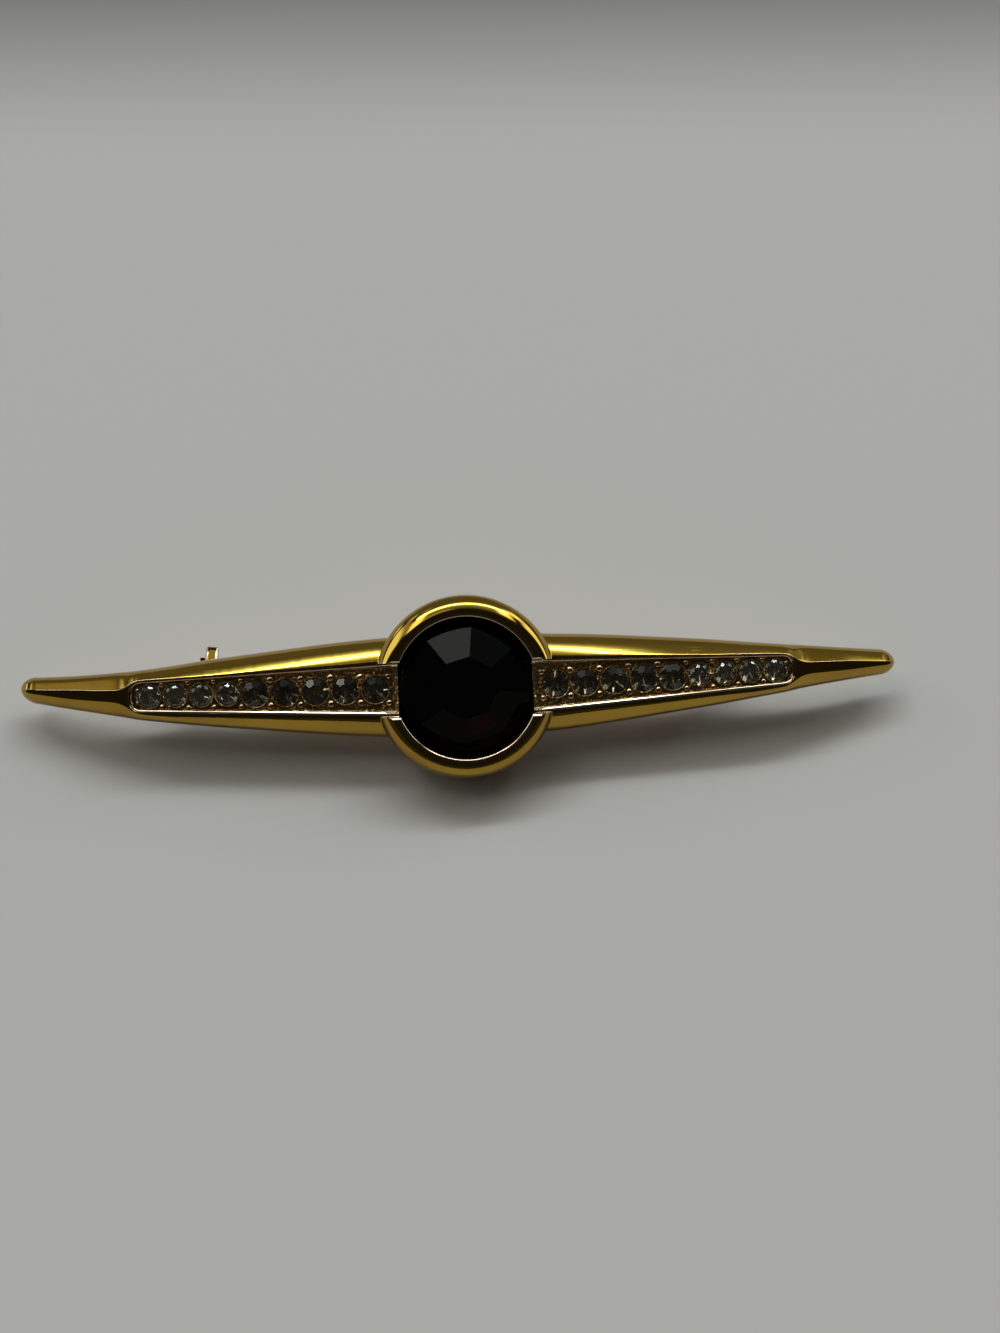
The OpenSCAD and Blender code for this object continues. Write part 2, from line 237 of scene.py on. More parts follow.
# %% [markdown]
# ## Worn edges
# Plating wears through first where an edge stands out. So each vertex stores how sharp an
# outward edge runs through it, and the metals show a paler tone there. A stored attribute
# stays with the mesh, and it can tell a crisp edge from the curve of a flank.

# %% Marks of wear
SHARP_ANGLE = 0.45  # radians between two faces
GENTLE_BEND, BEND_RANGE = 2, 5  # radians of turn for each millimetre
SHORTEST_STEP = 0.01


def mark_wear(bm):
    """Stores at each vertex how sharp an outer edge runs through it, from 0 to 1."""
    wear = bm.verts.layers.float.new("wear")
    for edge in bm.edges:
        if not edge.is_manifold or not edge.is_convex:
            continue
        angle = edge.calc_face_angle(0.0)
        apart = [face.calc_center_median() for face in edge.link_faces]
        bend = angle / max((apart[0] - apart[1]).length, SHORTEST_STEP)
        gentle = min(max((bend - GENTLE_BEND) / BEND_RANGE, 0), 1)
        amount = 1.0 if angle > SHARP_ANGLE else gentle
        for vert in edge.verts:
            vert[wear] = max(vert[wear], amount)


print(f"an edge counts as sharp from {degrees(SHARP_ANGLE):.0f} degrees")

# %% [markdown]
# ## Finishing a piece
# Every piece ends the same way: its doubles are merged, its wear is marked, and it is leaned into
# its place in metres. It is shaded smooth with its crisp edges kept. Then it takes its materials,
# it is hung on the root body, and the CAD part that it stands for is hidden.

# %% Finishing a piece
WELD = 1e-4


def finished(bm, name, node, materials, sharp=30):
    bmesh.ops.remove_doubles(bm, verts=bm.verts, dist=WELD)
    bmesh.ops.recalc_face_normals(bm, faces=bm.faces)
    open_edges = sum(1 for edge in bm.edges if not edge.is_manifold)
    mark_wear(bm)
    moved(bm, LAID)
    piece = as_object(bm, name)
    for material in materials:
        piece.data.materials.append(material)
    piece.data.shade_smooth()
    piece.data.set_sharp_from_angle(angle=radians(sharp))
    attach(piece, "root")
    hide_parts(node)
    print(f"{name}: {len(piece.data.polygons)} faces, {open_edges} open edges")
    return piece


print("scale from the drawing to the scene:", round(LAID.to_scale().x, 6))

# %% [markdown]
# ## Materials: small tools
# Nodes are added and joined by short helpers. Patterns read Object coordinates, which are
# metres here, so a scale of 1000 gives marks of about a millimetre.

# %% Node helpers
def add(tree, kind, **values):
    """Adds a node. A name such as Scale or in0 is a socket, which is set or linked there."""
    node = tree.nodes.new(kind)
    for name, value in values.items():
        socket = node.inputs.get(name.replace("_", " "))
        if name[2:].isdigit():
            socket = node.inputs[int(name[2:])]
        if socket is None:
            setattr(node, name, value)
        elif isinstance(value, bpy.types.NodeSocket):
            tree.links.new(value, socket)
        else:
            socket.default_value = value
    return node


def maths(tree, operation, first, second=0.0, third=0.0):
    """A Math node's result."""
    return add(tree, "ShaderNodeMath", operation=operation, in0=first, in1=second,
               in2=third).outputs[0]


def remap(tree, value, low, high, to_low=0.0, to_high=1.0):
    """A soft step from one number to another between two values."""
    node = add(tree, "ShaderNodeMapRange", interpolation_type="SMOOTHSTEP", Value=value)
    for name, number in (("From Min", low), ("From Max", high), ("To Min", to_low),
                         ("To Max", to_high)):
        node.inputs[name].default_value = number
    return node.outputs[0]


print("node helpers:", ", ".join(helper.__name__ for helper in (add, maths, remap)))

# %% [markdown]
# Each finish starts from Blender's Principled shader. What several finishes share is put in a
# node group, with sockets for what differs between them.

# %% New materials and node groups
MIX_FIRST, MIX_SECOND, MIX_RESULT = 6, 7, 2  # the colour sockets of a Mix node


def new_material(name):
    """A new material, its node tree and its Principled shader."""
    material = bpy.data.materials.new(name)
    material.use_nodes = True
    return material, material.node_tree, material.node_tree.nodes["Principled BSDF"]


def blend(tree, factor, first, second):
    """Mixes two colours, each of which is three numbers or the output of a node."""
    node = add(tree, "ShaderNodeMix", data_type="RGBA", Factor=factor)
    for socket, colour in ((node.inputs[MIX_FIRST], first), (node.inputs[MIX_SECOND], second)):
        if isinstance(colour, bpy.types.NodeSocket):
            tree.links.new(colour, socket)
        else:
            socket.default_value = (*colour, 1)
    return node.outputs[MIX_RESULT]


def new_group(name, inputs, outputs):
    """A shader node group with float inputs and their defaults, and named outputs."""
    group = bpy.data.node_groups.new(name, "ShaderNodeTree")
    for label, default in inputs:
        socket = group.interface.new_socket(label, in_out="INPUT", socket_type="NodeSocketFloat")
        socket.default_value = default
    for label, kind in outputs:
        group.interface.new_socket(label, in_out="OUTPUT", socket_type=kind)
    return group, group.nodes.new("NodeGroupInput"), group.nodes.new("NodeGroupOutput")


print("materials so far:", len(bpy.data.materials))

# %% [markdown]
# ## Worn polish
# Plated metal that has been worn for years is smooth but never flat: it waves slightly where
# the casting was buffed, carries fine hairlines and a few pits, and its shine is duller in
# cloudy patches. Gold plating, the pinker trays and the pin all share this, so it is one node
# group that puts out a height, a roughness and a cloud mask.

# %% Worn polish as a node group
polish, polish_in, polish_out = new_group(
    "worn polish",
    [("Waves", 1.0), ("Hairlines", 1.0), ("Pits", 1.0), ("Shine", 0.1), ("Dulling", 0.08)],
    [("Height", "NodeSocketFloat"), ("Roughness", "NodeSocketFloat"),
     ("Cloud", "NodeSocketFloat")])
place = add(polish, "ShaderNodeTexCoord").outputs["Object"]
WAVE_SCALE, CLOUD_SCALE, PIT_SCALE, HAIR_SCALE = 420, 230, 1500, 3600
WAVE_HEIGHT, HAIR_HEIGHT, PIT_HEIGHT = 0.0000032, 0.0000012, 0.00002
CLOUD_EDGES, HAIR_EDGES = (0.35, 0.7), (0.60, 0.68)
HAIR_TURN, HAIR_STRETCH = (0.3, 0.1, 0.35), (0.05, 1, 1)
PIT_REACH, PIT_SHARE = 0.12, (0.93, 0.95)
HAIR_DULLING = 0.08
waves = add(polish, "ShaderNodeTexNoise", Vector=place, Scale=WAVE_SCALE, Detail=1.0).outputs[0]
cloud = add(polish, "ShaderNodeTexNoise", Vector=place, Scale=CLOUD_SCALE, Detail=4.0).outputs[0]
cloud = remap(polish, cloud, *CLOUD_EDGES)
stretched = add(polish, "ShaderNodeMapping", Vector=place, Rotation=HAIR_TURN,
                Scale=HAIR_STRETCH).outputs[0]
hairs = add(polish, "ShaderNodeTexNoise", Vector=stretched, Scale=HAIR_SCALE,
            Detail=2.0).outputs[0]
hairs = maths(polish, "MULTIPLY", remap(polish, hairs, *HAIR_EDGES), cloud)
cells = add(polish, "ShaderNodeTexVoronoi", Vector=place, Scale=PIT_SCALE)
pits = remap(polish, cells.outputs["Distance"], 0.0, PIT_REACH, 1.0, 0.0)
chosen = add(polish, "ShaderNodeSeparateColor", Color=cells.outputs["Color"]).outputs[0]
pits = maths(polish, "MULTIPLY", pits, remap(polish, chosen, *PIT_SHARE))
height = maths(polish, "MULTIPLY", waves, maths(
    polish, "MULTIPLY", polish_in.outputs["Waves"], WAVE_HEIGHT))
height = maths(polish, "SUBTRACT", height, maths(
    polish, "MULTIPLY", hairs, maths(
        polish, "MULTIPLY", polish_in.outputs["Hairlines"], HAIR_HEIGHT)))
height = maths(polish, "SUBTRACT", height, maths(
    polish, "MULTIPLY", pits, maths(polish, "MULTIPLY", polish_in.outputs["Pits"], PIT_HEIGHT)))
dulled = maths(polish, "MULTIPLY_ADD", cloud, polish_in.outputs["Dulling"],
               polish_in.outputs["Shine"])
dulled = maths(polish, "MULTIPLY_ADD", hairs, HAIR_DULLING, dulled)
polish.links.new(height, polish_out.inputs["Height"])
polish.links.new(dulled, polish_out.inputs["Roughness"])
polish.links.new(cloud, polish_out.inputs["Cloud"])
print("group:", polish.name, "with", len(polish.nodes), "nodes")

# %% [markdown]
# ## Plated metals
# A plated metal is its colour, the darker tone of its clouds and the paler tone of its rubbed
# edges. A thin coat over it stands for the lacquer that costume jewellery is dipped in.

# %% A plated metal
WORN_FROM, WORN_TO, MOST_WORN = 0.3, 0.9, 0.85
GRAIN_SCALE, COAT_WEIGHT, COAT_ROUGHNESS = 2600.0, 0.4, 0.05


def plated(name, colour, dark, pale, waves, hairs, pits, shine, dulling, grain=0.0):
    """A worn plated metal; grain adds the rough skin of a casting."""
    material, tree, shader = new_material(name)
    wear = tree.nodes.new("ShaderNodeGroup")
    wear.node_tree = polish
    for label, value in (("Waves", waves), ("Hairlines", hairs), ("Pits", pits),
                         ("Shine", shine), ("Dulling", dulling)):
        wear.inputs[label].default_value = value
    plating = blend(tree, wear.outputs["Cloud"], colour, dark)
    edge = add(tree, "ShaderNodeAttribute", attribute_name="wear").outputs["Fac"]
    rubbed = remap(tree, edge, WORN_FROM, WORN_TO, 0.0, MOST_WORN)
    tree.links.new(blend(tree, rubbed, plating, pale), shader.inputs["Base Color"])
    tree.links.new(wear.outputs["Roughness"], shader.inputs["Roughness"])
    height = wear.outputs["Height"]
    if grain:
        place = add(tree, "ShaderNodeTexCoord").outputs["Object"]
        coarse = add(tree, "ShaderNodeTexNoise", Vector=place, Scale=GRAIN_SCALE,
                     Detail=3.0).outputs[0]
        height = maths(tree, "MULTIPLY_ADD", coarse, grain, height)
    bump = add(tree, "ShaderNodeBump", Height=height, Distance=1.0)
    tree.links.new(bump.outputs[0], shader.inputs["Normal"])
    shader.inputs["Metallic"].default_value = 1.0
    shader.inputs["Coat Weight"].default_value = COAT_WEIGHT
    shader.inputs["Coat Roughness"].default_value = COAT_ROUGHNESS
    return material


print("coat of each plated metal:", COAT_WEIGHT)

# %% [markdown]
# The gold of the arms and ring is the most polished. The trays' rims are pinker, and their sunken
# floors keep the rough, darker skin of the casting. The wall of the cup is near black, which is
# painted shade where it lies in shadow beside the stone, and the pin is plain drawn wire.

# %% The brooch's metals
gold = plated("polished_gold_plating", (0.44, 0.262, 0.022), (0.39, 0.226, 0.018),
              (0.58, 0.48, 0.36), waves=1.0, hairs=1.0, pits=1.0, shine=0.05, dulling=0.05)
rose = plated("polished_rose_plating", (0.58, 0.38, 0.24), (0.50, 0.31, 0.18),
              (0.64, 0.50, 0.38), waves=0.8, hairs=0.0, pits=1.0, shine=0.04, dulling=0.04)
rose_cast = plated("cast_rose_plating", (0.44, 0.25, 0.07), (0.17, 0.09, 0.03),
                   (0.66, 0.46, 0.20), waves=1.5, hairs=0.0, pits=1.0, shine=0.16,
                   dulling=0.16, grain=0.00025)
# The cup's wall is near black: painted shade, for the wall lies in shadow beside the stone.
shaded_cup_wall = plated("painted_shade_cup_wall", (0.05, 0.025, 0.012), (0.02, 0.010, 0.006),
                  (0.08, 0.04, 0.02), waves=1.0, hairs=0.0, pits=1.0, shine=0.40, dulling=0.2)
wire = plated("drawn_pin_wire", (0.60, 0.40, 0.15), (0.50, 0.32, 0.10), (0.66, 0.48, 0.24),
              waves=0.6, hairs=2.0, pits=0.5, shine=0.22, dulling=0.12)
print("metals:", ", ".join(metal.name for metal in (gold, rose, rose_cast, shaded_cup_wall, wire)))

# %% [markdown]
# ## Glass
# The crystals and the large stone are cut glass with a pointed underside that is foiled, so
# light that enters through the crown is thrown back. The crown is clear or red glass, and the
# underside is a second material, a mirror. Only its front is seen, through the glass.

# %% Glass
SMEAR_SCALE, SMEAR_EDGES, SMEAR_DULLING = 700.0, (0.4, 0.75), 0.015
RUB_SCALE, RUB_EDGES, RUB_DEPTH = 2500.0, (0.66, 0.7), -0.000001
RUB_TURN, RUB_STRETCH = (0.0, 0.2, 1.9), (0.1, 1, 1)
GLASS_IOR = 1.54


def glass(name, colour, roughness):
    """Clear or coloured glass with faint smears and rubbed lines."""
    material, tree, shader = new_material(name)
    place = add(tree, "ShaderNodeTexCoord").outputs["Object"]
    smears = add(tree, "ShaderNodeTexNoise", Vector=place, Scale=SMEAR_SCALE,
                 Detail=5.0).outputs[0]
    tree.links.new(remap(tree, smears, *SMEAR_EDGES, roughness, roughness + SMEAR_DULLING),
                   shader.inputs["Roughness"])
    rub = add(tree, "ShaderNodeMapping", Vector=place, Rotation=RUB_TURN,
              Scale=RUB_STRETCH).outputs[0]
    rubs = add(tree, "ShaderNodeTexNoise", Vector=rub, Scale=RUB_SCALE, Detail=2.0).outputs[0]
    bump = add(tree, "ShaderNodeBump", Height=maths(
        tree, "MULTIPLY", remap(tree, rubs, *RUB_EDGES), RUB_DEPTH), Distance=1.0)
    tree.links.new(bump.outputs[0], shader.inputs["Normal"])
    shader.inputs["Base Color"].default_value = (*colour, 1)
    shader.inputs["Metallic"].default_value = 0.0
    shader.inputs["Transmission Weight"].default_value = 1.0
    shader.inputs["IOR"].default_value = GLASS_IOR
    return material


crystal_glass = glass("clear_crystal", (0.95, 0.92, 0.83), 0.0)
red_glass = glass("dark_red_glass", (0.10, 0.002, 0.004), 0.0)
print("glass:", crystal_glass.name, red_glass.name)

# %% [markdown]
# The foil is a thin film of silver under lacquer, which gets spots as it ages. Behind the
# larger crystals it has darkened most, and behind the large stone it is tinted red.

# %% Foil
SPOT_SCALE, SPOT_EDGES, FOIL_ROUGHNESS = 1400.0, (0.45, 0.7), 0.02


def foil(name, colour, spots):
    """A mirror film with patches of a second colour."""
    material, tree, shader = new_material(name)
    place = add(tree, "ShaderNodeTexCoord").outputs["Object"]
    patches = add(tree, "ShaderNodeTexNoise", Vector=place, Scale=SPOT_SCALE,
                  Detail=3.0).outputs[0]
    spotted = blend(tree, remap(tree, patches, *SPOT_EDGES), colour, spots)
    tree.links.new(spotted, shader.inputs["Base Color"])
    shader.inputs["Metallic"].default_value = 1.0
    shader.inputs["Roughness"].default_value = FOIL_ROUGHNESS
    return material


crystal_foil = foil("silver_foil", (0.92, 0.87, 0.75), (0.60, 0.56, 0.47))
darkened_foil = foil("darkened_silver_foil", (0.66, 0.61, 0.51), (0.32, 0.28, 0.22))
red_foil = foil("red_backing_foil", (0.05, 0.002, 0.003), (0.03, 0.001, 0.002))
print("foils:", crystal_foil.name, darkened_foil.name, red_foil.name)

# %% [markdown]
# ## The arms
# Each arm is a long half-round bar whose top was ground flat. Its section has a level land, a
# small crease, a flank that steepens towards the edge, and a side that curls under to the
# back. Two widths change freely along it and the heights follow simple curves, so each row of
# the table is short.

# %% Sizes of the arms
ARM_LENGTH, TIP_ROUND, ARM_START = 42.9, 1.7, 7.0
RING_RADIUS, ARM_HEIGHT, ARM_HEIGHT_OUT, TRAY_END = 8.85, 3.2, 2.7, 32.1
TIP_SLOPE = {"left": 0.27, "right": 0.215}  # fall of the land past the tray
TIP_DROP = {"left": 2.6, "right": 1.7}  # how far the back is bent down at the tip
TIP_CURVE, BACK_BEND = 1.5, 1.5
ARM_FALL = atan2(ARM_HEIGHT - ARM_HEIGHT_OUT, TRAY_END - RING_RADIUS)
ARM_TURN = {"left": 0.0, "right": radians(1.75)}
TIP_BEND = {"left": 0.7, "right": -0.26}  # how far the tip turns sideways
BEND_START, CURL = 28, 0.42
FLANK_END = 46  # degrees from level
STEEPENING = {"left": 0.5, "right": 0.95}  # degrees that the upper flank gains each millimetre
LOWER_LAND = 0.28  # by which the land's lower half is wider
ARM_ROWS = [  # distance from the middle, half width, half width of the land with its crease
    (6.2, 4.88, 3.00), (9.0, 4.72, 2.82), (12.0, 4.50, 2.63), (16.0, 4.12, 2.42),
    (20.0, 3.70, 2.17), (24.0, 3.27, 1.92), (28.0, 2.77, 1.74), (30.4, 2.48, 1.62),
    (31.4, 2.36, 1.50), (32.0, 2.28, 1.22), (32.6, 2.21, 0.86), (33.3, 2.13, 0.63),
    (35.0, 1.93, 0.54), (37.5, 1.66, 0.47), (39.4, 1.47, 0.36), (41.2, 1.30, 0.24)]
print(f"{len(ARM_ROWS)} rows, and the land falls by {degrees(ARM_FALL):.2f} degrees")

# %% [markdown]
# Between the rows the widths follow a smooth curve, because the light would show each kink of
# straight steps. The arm's line, its land and its back are three more curves along it: both
# tips turn a little sideways, and past the trays they bend down.

# %% How an arm runs
def smooth_value(distance, column):
    """Reads a column of ARM_ROWS on a smooth curve through its rows."""
    last = len(ARM_ROWS) - 1
    i = max(k for k in range(last) if ARM_ROWS[k][0] <= distance)

    def slope(k):
        low, high = ARM_ROWS[max(k - 1, 0)], ARM_ROWS[min(k + 1, last)]
        return (high[column] - low[column]) / (high[0] - low[0])

    step = ARM_ROWS[i + 1][0] - ARM_ROWS[i][0]
    t = min((distance - ARM_ROWS[i][0]) / step, 1)
    return ((2 * t ** 3 - 3 * t ** 2 + 1) * ARM_ROWS[i][column]
            + (t ** 3 - 2 * t ** 2 + t) * step * slope(i)
            + (3 * t ** 2 - 2 * t ** 3) * ARM_ROWS[i + 1][column]
            + (t ** 3 - t ** 2) * step * slope(i + 1))


def arm_line(side, distance):
    """How far the arm's middle line has turned sideways."""
    bend = TIP_BEND[side] * (max(distance - BEND_START, 0) / (ARM_LENGTH - BEND_START)) ** 2
    return max(distance - RING_RADIUS, 0) * tan(ARM_TURN[side]) + bend


def arm_top(side, distance):
    """Height of the land. Past the tray it curves over and falls towards the tip."""
    past = max(distance - TRAY_END, 0)
    fallen = past ** 2 / 2 / TIP_CURVE if past < TIP_CURVE else past - TIP_CURVE / 2
    return ARM_HEIGHT - (distance - RING_RADIUS) * tan(ARM_FALL) - TIP_SLOPE[side] * fallen


def arm_back(side, distance):
    """Height of the back: level, then bent down towards the tip."""
    past = max(distance - TRAY_END, 0) / (ARM_LENGTH - TRAY_END)
    return -TIP_DROP[side] * past ** BACK_BEND


print("half widths at 10, 20 and 30 mm:", [round(smooth_value(d, 1), 2) for d in (10, 20, 30)])

# %% [markdown]
# A half section is given by tilts from level, because a mirror shows the window where its tilt
# fits. The flank starts at one tilt and ends at another, and both are what the bright and dark
# lines of the photo ask for. The upper half is rounder than the lower one.

# %% One cross-section
CREASE_STEPS, FLANK_STEPS, EDGE_STEPS = 4, 9, 8
CREASE_SHARE, LAND_STEP, BACK_STEP = 0.97, 0.05, 0.1
CURL_ANGLES = range(15, 91, 15)
SECTION_START, TIP_START, TIP_SPAN = 9, 28, 6
UPPER_START, UPPER_START_MOST, LOWER_START = 33, 44, 31
UPPER_CREASE, UPPER_CREASE_OUT, UPPER_CREASE_TIP = 0.65, 0.12, 0.08
LOWER_CREASE, LOWER_CREASE_OUT, CREASE_FADE = 0.85, 0.25, 0.04
UPPER_EDGE, UPPER_EDGE_TIP, LOWER_EDGE = 2.2, 0.6, 1.4


def flank(land, half, top, start, end, crease, edge):
    """From the land over a rounded crease, down a flank that steepens, into the side."""
    crease = min(crease, land)
    low, high = radians(start), radians(end)
    inner = land - crease * sin(low) * CREASE_SHARE
    points = [(inner - LAND_STEP, top)]
    points += arc((inner, top - crease), crease, 0, start, CREASE_STEPS)
    corner = points[-1]
    edge_width = edge * (1 - sin(high))
    radius = (half - corner[0] - edge_width) / (sin(high) - sin(low))
    centre = (corner[0] - radius * sin(low), corner[1] - radius * cos(low))
    points += arc(centre, radius, start, end, FLANK_STEPS)[1:]
    end_point = points[-1]
    points += arc((end_point[0] - edge * sin(high), end_point[1] - edge * cos(high)),
                  edge, end, 90, EDGE_STEPS)[1:]
    return points


def half_section(half, land, height, start, crease, edge):
    """One half of a section: the flank, and a side that curls under to the back."""
    points = flank(land, half, height, start, FLANK_END, crease, edge)
    side_height = points[-1][1]
    points += [(half - CURL * (1 - cos(radians(t))), side_height * (1 - sin(radians(t))))
               for t in CURL_ANGLES]
    return points + [(half - CURL - BACK_STEP, 0)]


def arm_section(side, distance, jitter=0.0):
    """A whole section as (y, z) points. The upper half gets steeper outwards."""
    half, land = smooth_value(distance, 1), smooth_value(distance, 2)
    back_height = arm_back(side, distance)
    height = arm_top(side, distance) - back_height
    out = max(distance - SECTION_START, 0)
    tip = min(max(distance - TIP_START, 0) / TIP_SPAN, 1)
    upper = half_section(
        half, land + jitter, height, min(UPPER_START + STEEPENING[side] * out, UPPER_START_MOST),
        max(UPPER_CREASE - CREASE_FADE * out, UPPER_CREASE_OUT - UPPER_CREASE_TIP * tip),
        UPPER_EDGE - UPPER_EDGE_TIP * tip)
    lower = half_section(
        half, land + LOWER_LAND * (1 - tip) - jitter, height, LOWER_START,
        max(LOWER_CREASE - CREASE_FADE * out, LOWER_CREASE_OUT), LOWER_EDGE)
    return ([(y, z + back_height) for y, z in upper]
            + [(-y, z + back_height) for y, z in reversed(lower)])


print("points in a section:", len(arm_section("left", 20)))

# %% [markdown]
# An arm is drawn through many close rows. The edge of its land wavers by about a hundredth of
# a millimetre, as filing by hand leaves it. The tip is rounded off by rows that shrink.

# %% Drawing an arm
ARM_STEPS, WAVER = 140, 0.012
TIP_ANGLES = (12, 24, 36, 47, 57, 66, 74, 81, 86, 89)


def arm(side, seed):
    """A whole arm along +X."""
    draw = random.Random(seed)
    full = ARM_LENGTH - TIP_ROUND
    rows = []
    for i in range(ARM_STEPS + 1):
        d = ARM_START + (full - ARM_START) * i / ARM_STEPS
        jitter = draw.uniform(-WAVER, WAVER) if d < BEND_START else 0
        rows.append([(d, arm_line(side, d) + y, z) for y, z in arm_section(side, d, jitter)])
    end_section = arm_section(side, full)
    middle = (arm_top(side, full) + arm_back(side, full)) / 2
    for angle in TIP_ANGLES:
        d, scale = full + TIP_ROUND * sin(radians(angle)), cos(radians(angle))
        lower = middle - TIP_SLOPE[side] * (d - full)
        rows.append([(d, arm_line(side, d) + y * scale, lower + (z - middle) * scale)
                     for y, z in end_section])
    return skin(rows)


print("rows of an arm:", ARM_STEPS + 1 + len(TIP_ANGLES))

# %% [markdown]
# ## The channel and the ring's gap
# The pink tray lies in a channel along the arm, whose sharp edge was broken lightly. The ring
# is cut through for the tray as well, and its gap opens a little towards the top, with a lip.

# %% Cutters for the channel and the gap
TRAY_START, TRAY_WIDTH, TRAY_WIDTH_OUT, TRAY_CORNER = 6.5, 4.88, 2.8, 1.0
TRAY_DEPTH, FLOOR_DEPTH, GAP = 1.5, 0.33, 0.04
RING_HEIGHT = 4.6
CHANNEL_START, CHANNEL_LIP, CUT_ALLOWANCE = 4, 0.04, 0.02
CLEAR_WIDTH, CLEAR_HEIGHT = 1, 0.8
CORNER_STEPS = 10
GAP_FROM, GAP_TO, GAP_UPRIGHT = 4.4, 9.6, 0.12
GAP_LIP = ((0.12, -0.2), (0.16, -0.15), (0.40, 0.03), (0.9, 0.4))  # outwards, over the crown


def on_arm(side):
    """Places what is drawn along +X, with z = 0 on the arm's sloping land."""
    mirror = Matrix.Scale(-1 if side == "left" else 1, 4, (1, 0, 0))
    return (mirror @ Matrix.Translation((RING_RADIUS, 0, ARM_HEIGHT))
            @ Matrix.Rotation(ARM_TURN[side], 4, "Z") @ Matrix.Rotation(ARM_FALL, 4, "Y")
            @ Matrix.Translation((-RING_RADIUS, 0, 0)))


def tray_row(start, margin, z):
    """The tray's outline at one height, grown by a margin."""
    taper = (TRAY_WIDTH - TRAY_WIDTH_OUT) / 2 / (TRAY_END - TRAY_START)
    end, corner, half_out = TRAY_END + margin, TRAY_CORNER + margin, TRAY_WIDTH_OUT / 2 + margin
    upper = [(start, half_out + taper * (end - start))]
    upper += [(end - corner + x, half_out - corner + y)
              for x, y in arc((0, 0), corner, 0, 90, CORNER_STEPS)]
    return [(x, y, z) for x, y in upper] + [(x, -y, z) for x, y in reversed(upper)]


def channel():
    """What is cut out of an arm for its tray."""
    return skin([tray_row(CHANNEL_START, margin, z) for margin, z in (
        (GAP, -TRAY_DEPTH - GAP), (GAP, -CHANNEL_LIP), (GAP + CHANNEL_LIP, 0.0),
        (GAP + CHANNEL_LIP + CLEAR_WIDTH, CLEAR_HEIGHT))])


def ring_gap():
    """What is cut out of the ring for a tray."""
    foot, rise = TRAY_WIDTH / 2 + GAP + CUT_ALLOWANCE, RING_HEIGHT - ARM_HEIGHT
    half = [(foot, -TRAY_DEPTH - GAP - CUT_ALLOWANCE), (foot, GAP_UPRIGHT)]
    half += [(foot + across, rise + over) for across, over in GAP_LIP]
    section = half + [(-y, z) for y, z in reversed(half)]
    return skin([[(x, y, z) for y, z in section] for x in (GAP_FROM, GAP_TO)])


print("the channel reaches out to", round(TRAY_END + GAP, 2), "mm from the middle")

# %% [markdown]
# ## The ring
# The ring is turned on a lathe: a level crown with a fine bevel at the cup's edge, a rounded
# shoulder, an upright wall and a back that curls under. Its cup has a closed floor.

# %% The ring's profile
CUP_RADIUS, CROWN, RING_CURL, CUP_FLOOR, WALL_FOOT = 6.86, 0.8, 0.53, 0.8, 2.2
CUP_CORNER, CUP_BEVEL, RING_STEPS = 0.1, 0.075, 192
BEVEL_ROWS = ((0.0, CUP_BEVEL + 0.02), (0.006, CUP_BEVEL), (0.025, 0.050), (0.065, 0.018),
              (0.095, 0.0))  # outwards from the cup's wall, under the crown
SHOULDER_START, SHOULDER_END, SHOULDER_CREASE, SHOULDER_EDGE = 26, 68, 0.3, 0.4
WALL_ROW, RING_CURL_ANGLES = 0.3, range(0, 91, 10)


def ring():
    """The closed ring with its cup, before its gap is cut."""
    profile = [(0, CUP_FLOOR), (CUP_RADIUS - CUP_CORNER, CUP_FLOOR),
               (CUP_RADIUS, CUP_FLOOR + CUP_CORNER)]
    profile += [(CUP_RADIUS + across, RING_HEIGHT - under) for across, under in BEVEL_ROWS]
    shoulder = flank(CUP_RADIUS + CROWN, RING_RADIUS, RING_HEIGHT, SHOULDER_START,
                     SHOULDER_END, SHOULDER_CREASE, SHOULDER_EDGE)
    profile += shoulder + [(RING_RADIUS, WALL_FOOT + WALL_ROW)]
    profile += [(RING_RADIUS - RING_CURL * (1 - cos(radians(t))),
                 WALL_FOOT * (1 - sin(radians(t)))) for t in RING_CURL_ANGLES]
    return lathe(profile + [(RING_RADIUS - RING_CURL - BACK_STEP, 0), (0, 0)], RING_STEPS)


print(f"the ring is {2 * RING_RADIUS:.1f} mm across and {RING_HEIGHT} mm high")

# %% [markdown]
# ## Catch
# The back of the real brooch is hidden. A soldered hook and a two-eared hinge are usual, so
# they are made plainly, but with rounded edges and soldered plates. The hook's thumb tab is
# the one part that shows: a small hollow tongue over the left arm's upper edge. All sizes here
# count from the catch's place on the flat back, so what is below it is negative.

# %% The catch
FITTING_PLACE, PIN_RISE, PIN_DEPTH = 25.4, 1.3, 3.2
PLATE_LOW, PLATE_HIGH, FILED = (-1.7, -1.2, -0.45), (1.7, 1.2, 0.3), 0.12
NECK_LOW, NECK_HIGH = (-1.3, -0.9, -2.35), (1.3, 0.9, 0.2)
HOOK_HALF, HOOK_BORE, HOOK_RADIUS = 1.3, 0.75, 1.3
HOOK_START, HOOK_SWEEP, HOOK_STEPS = 112, 316, 44  # two angles in degrees, and rows
TAB_LOW, TAB_HIGH, TAB_FILED = (0.1, 0.9, -3.2), (1.3, 3.1, -2.6), 0.2
TAB_WALL, TAB_HOLLOW, TAB_TURN, TAB_LEAN = 0.16, 0.25, radians(-5), radians(-33)
TAB_HEEL = Vector((0.7, 0.9, -2.9))
FOOT_LOW, FOOT_HIGH, FOOT_FILED = (-0.32, 0.9, -3.1), (0.2, 1.95, -2.7), 0.1


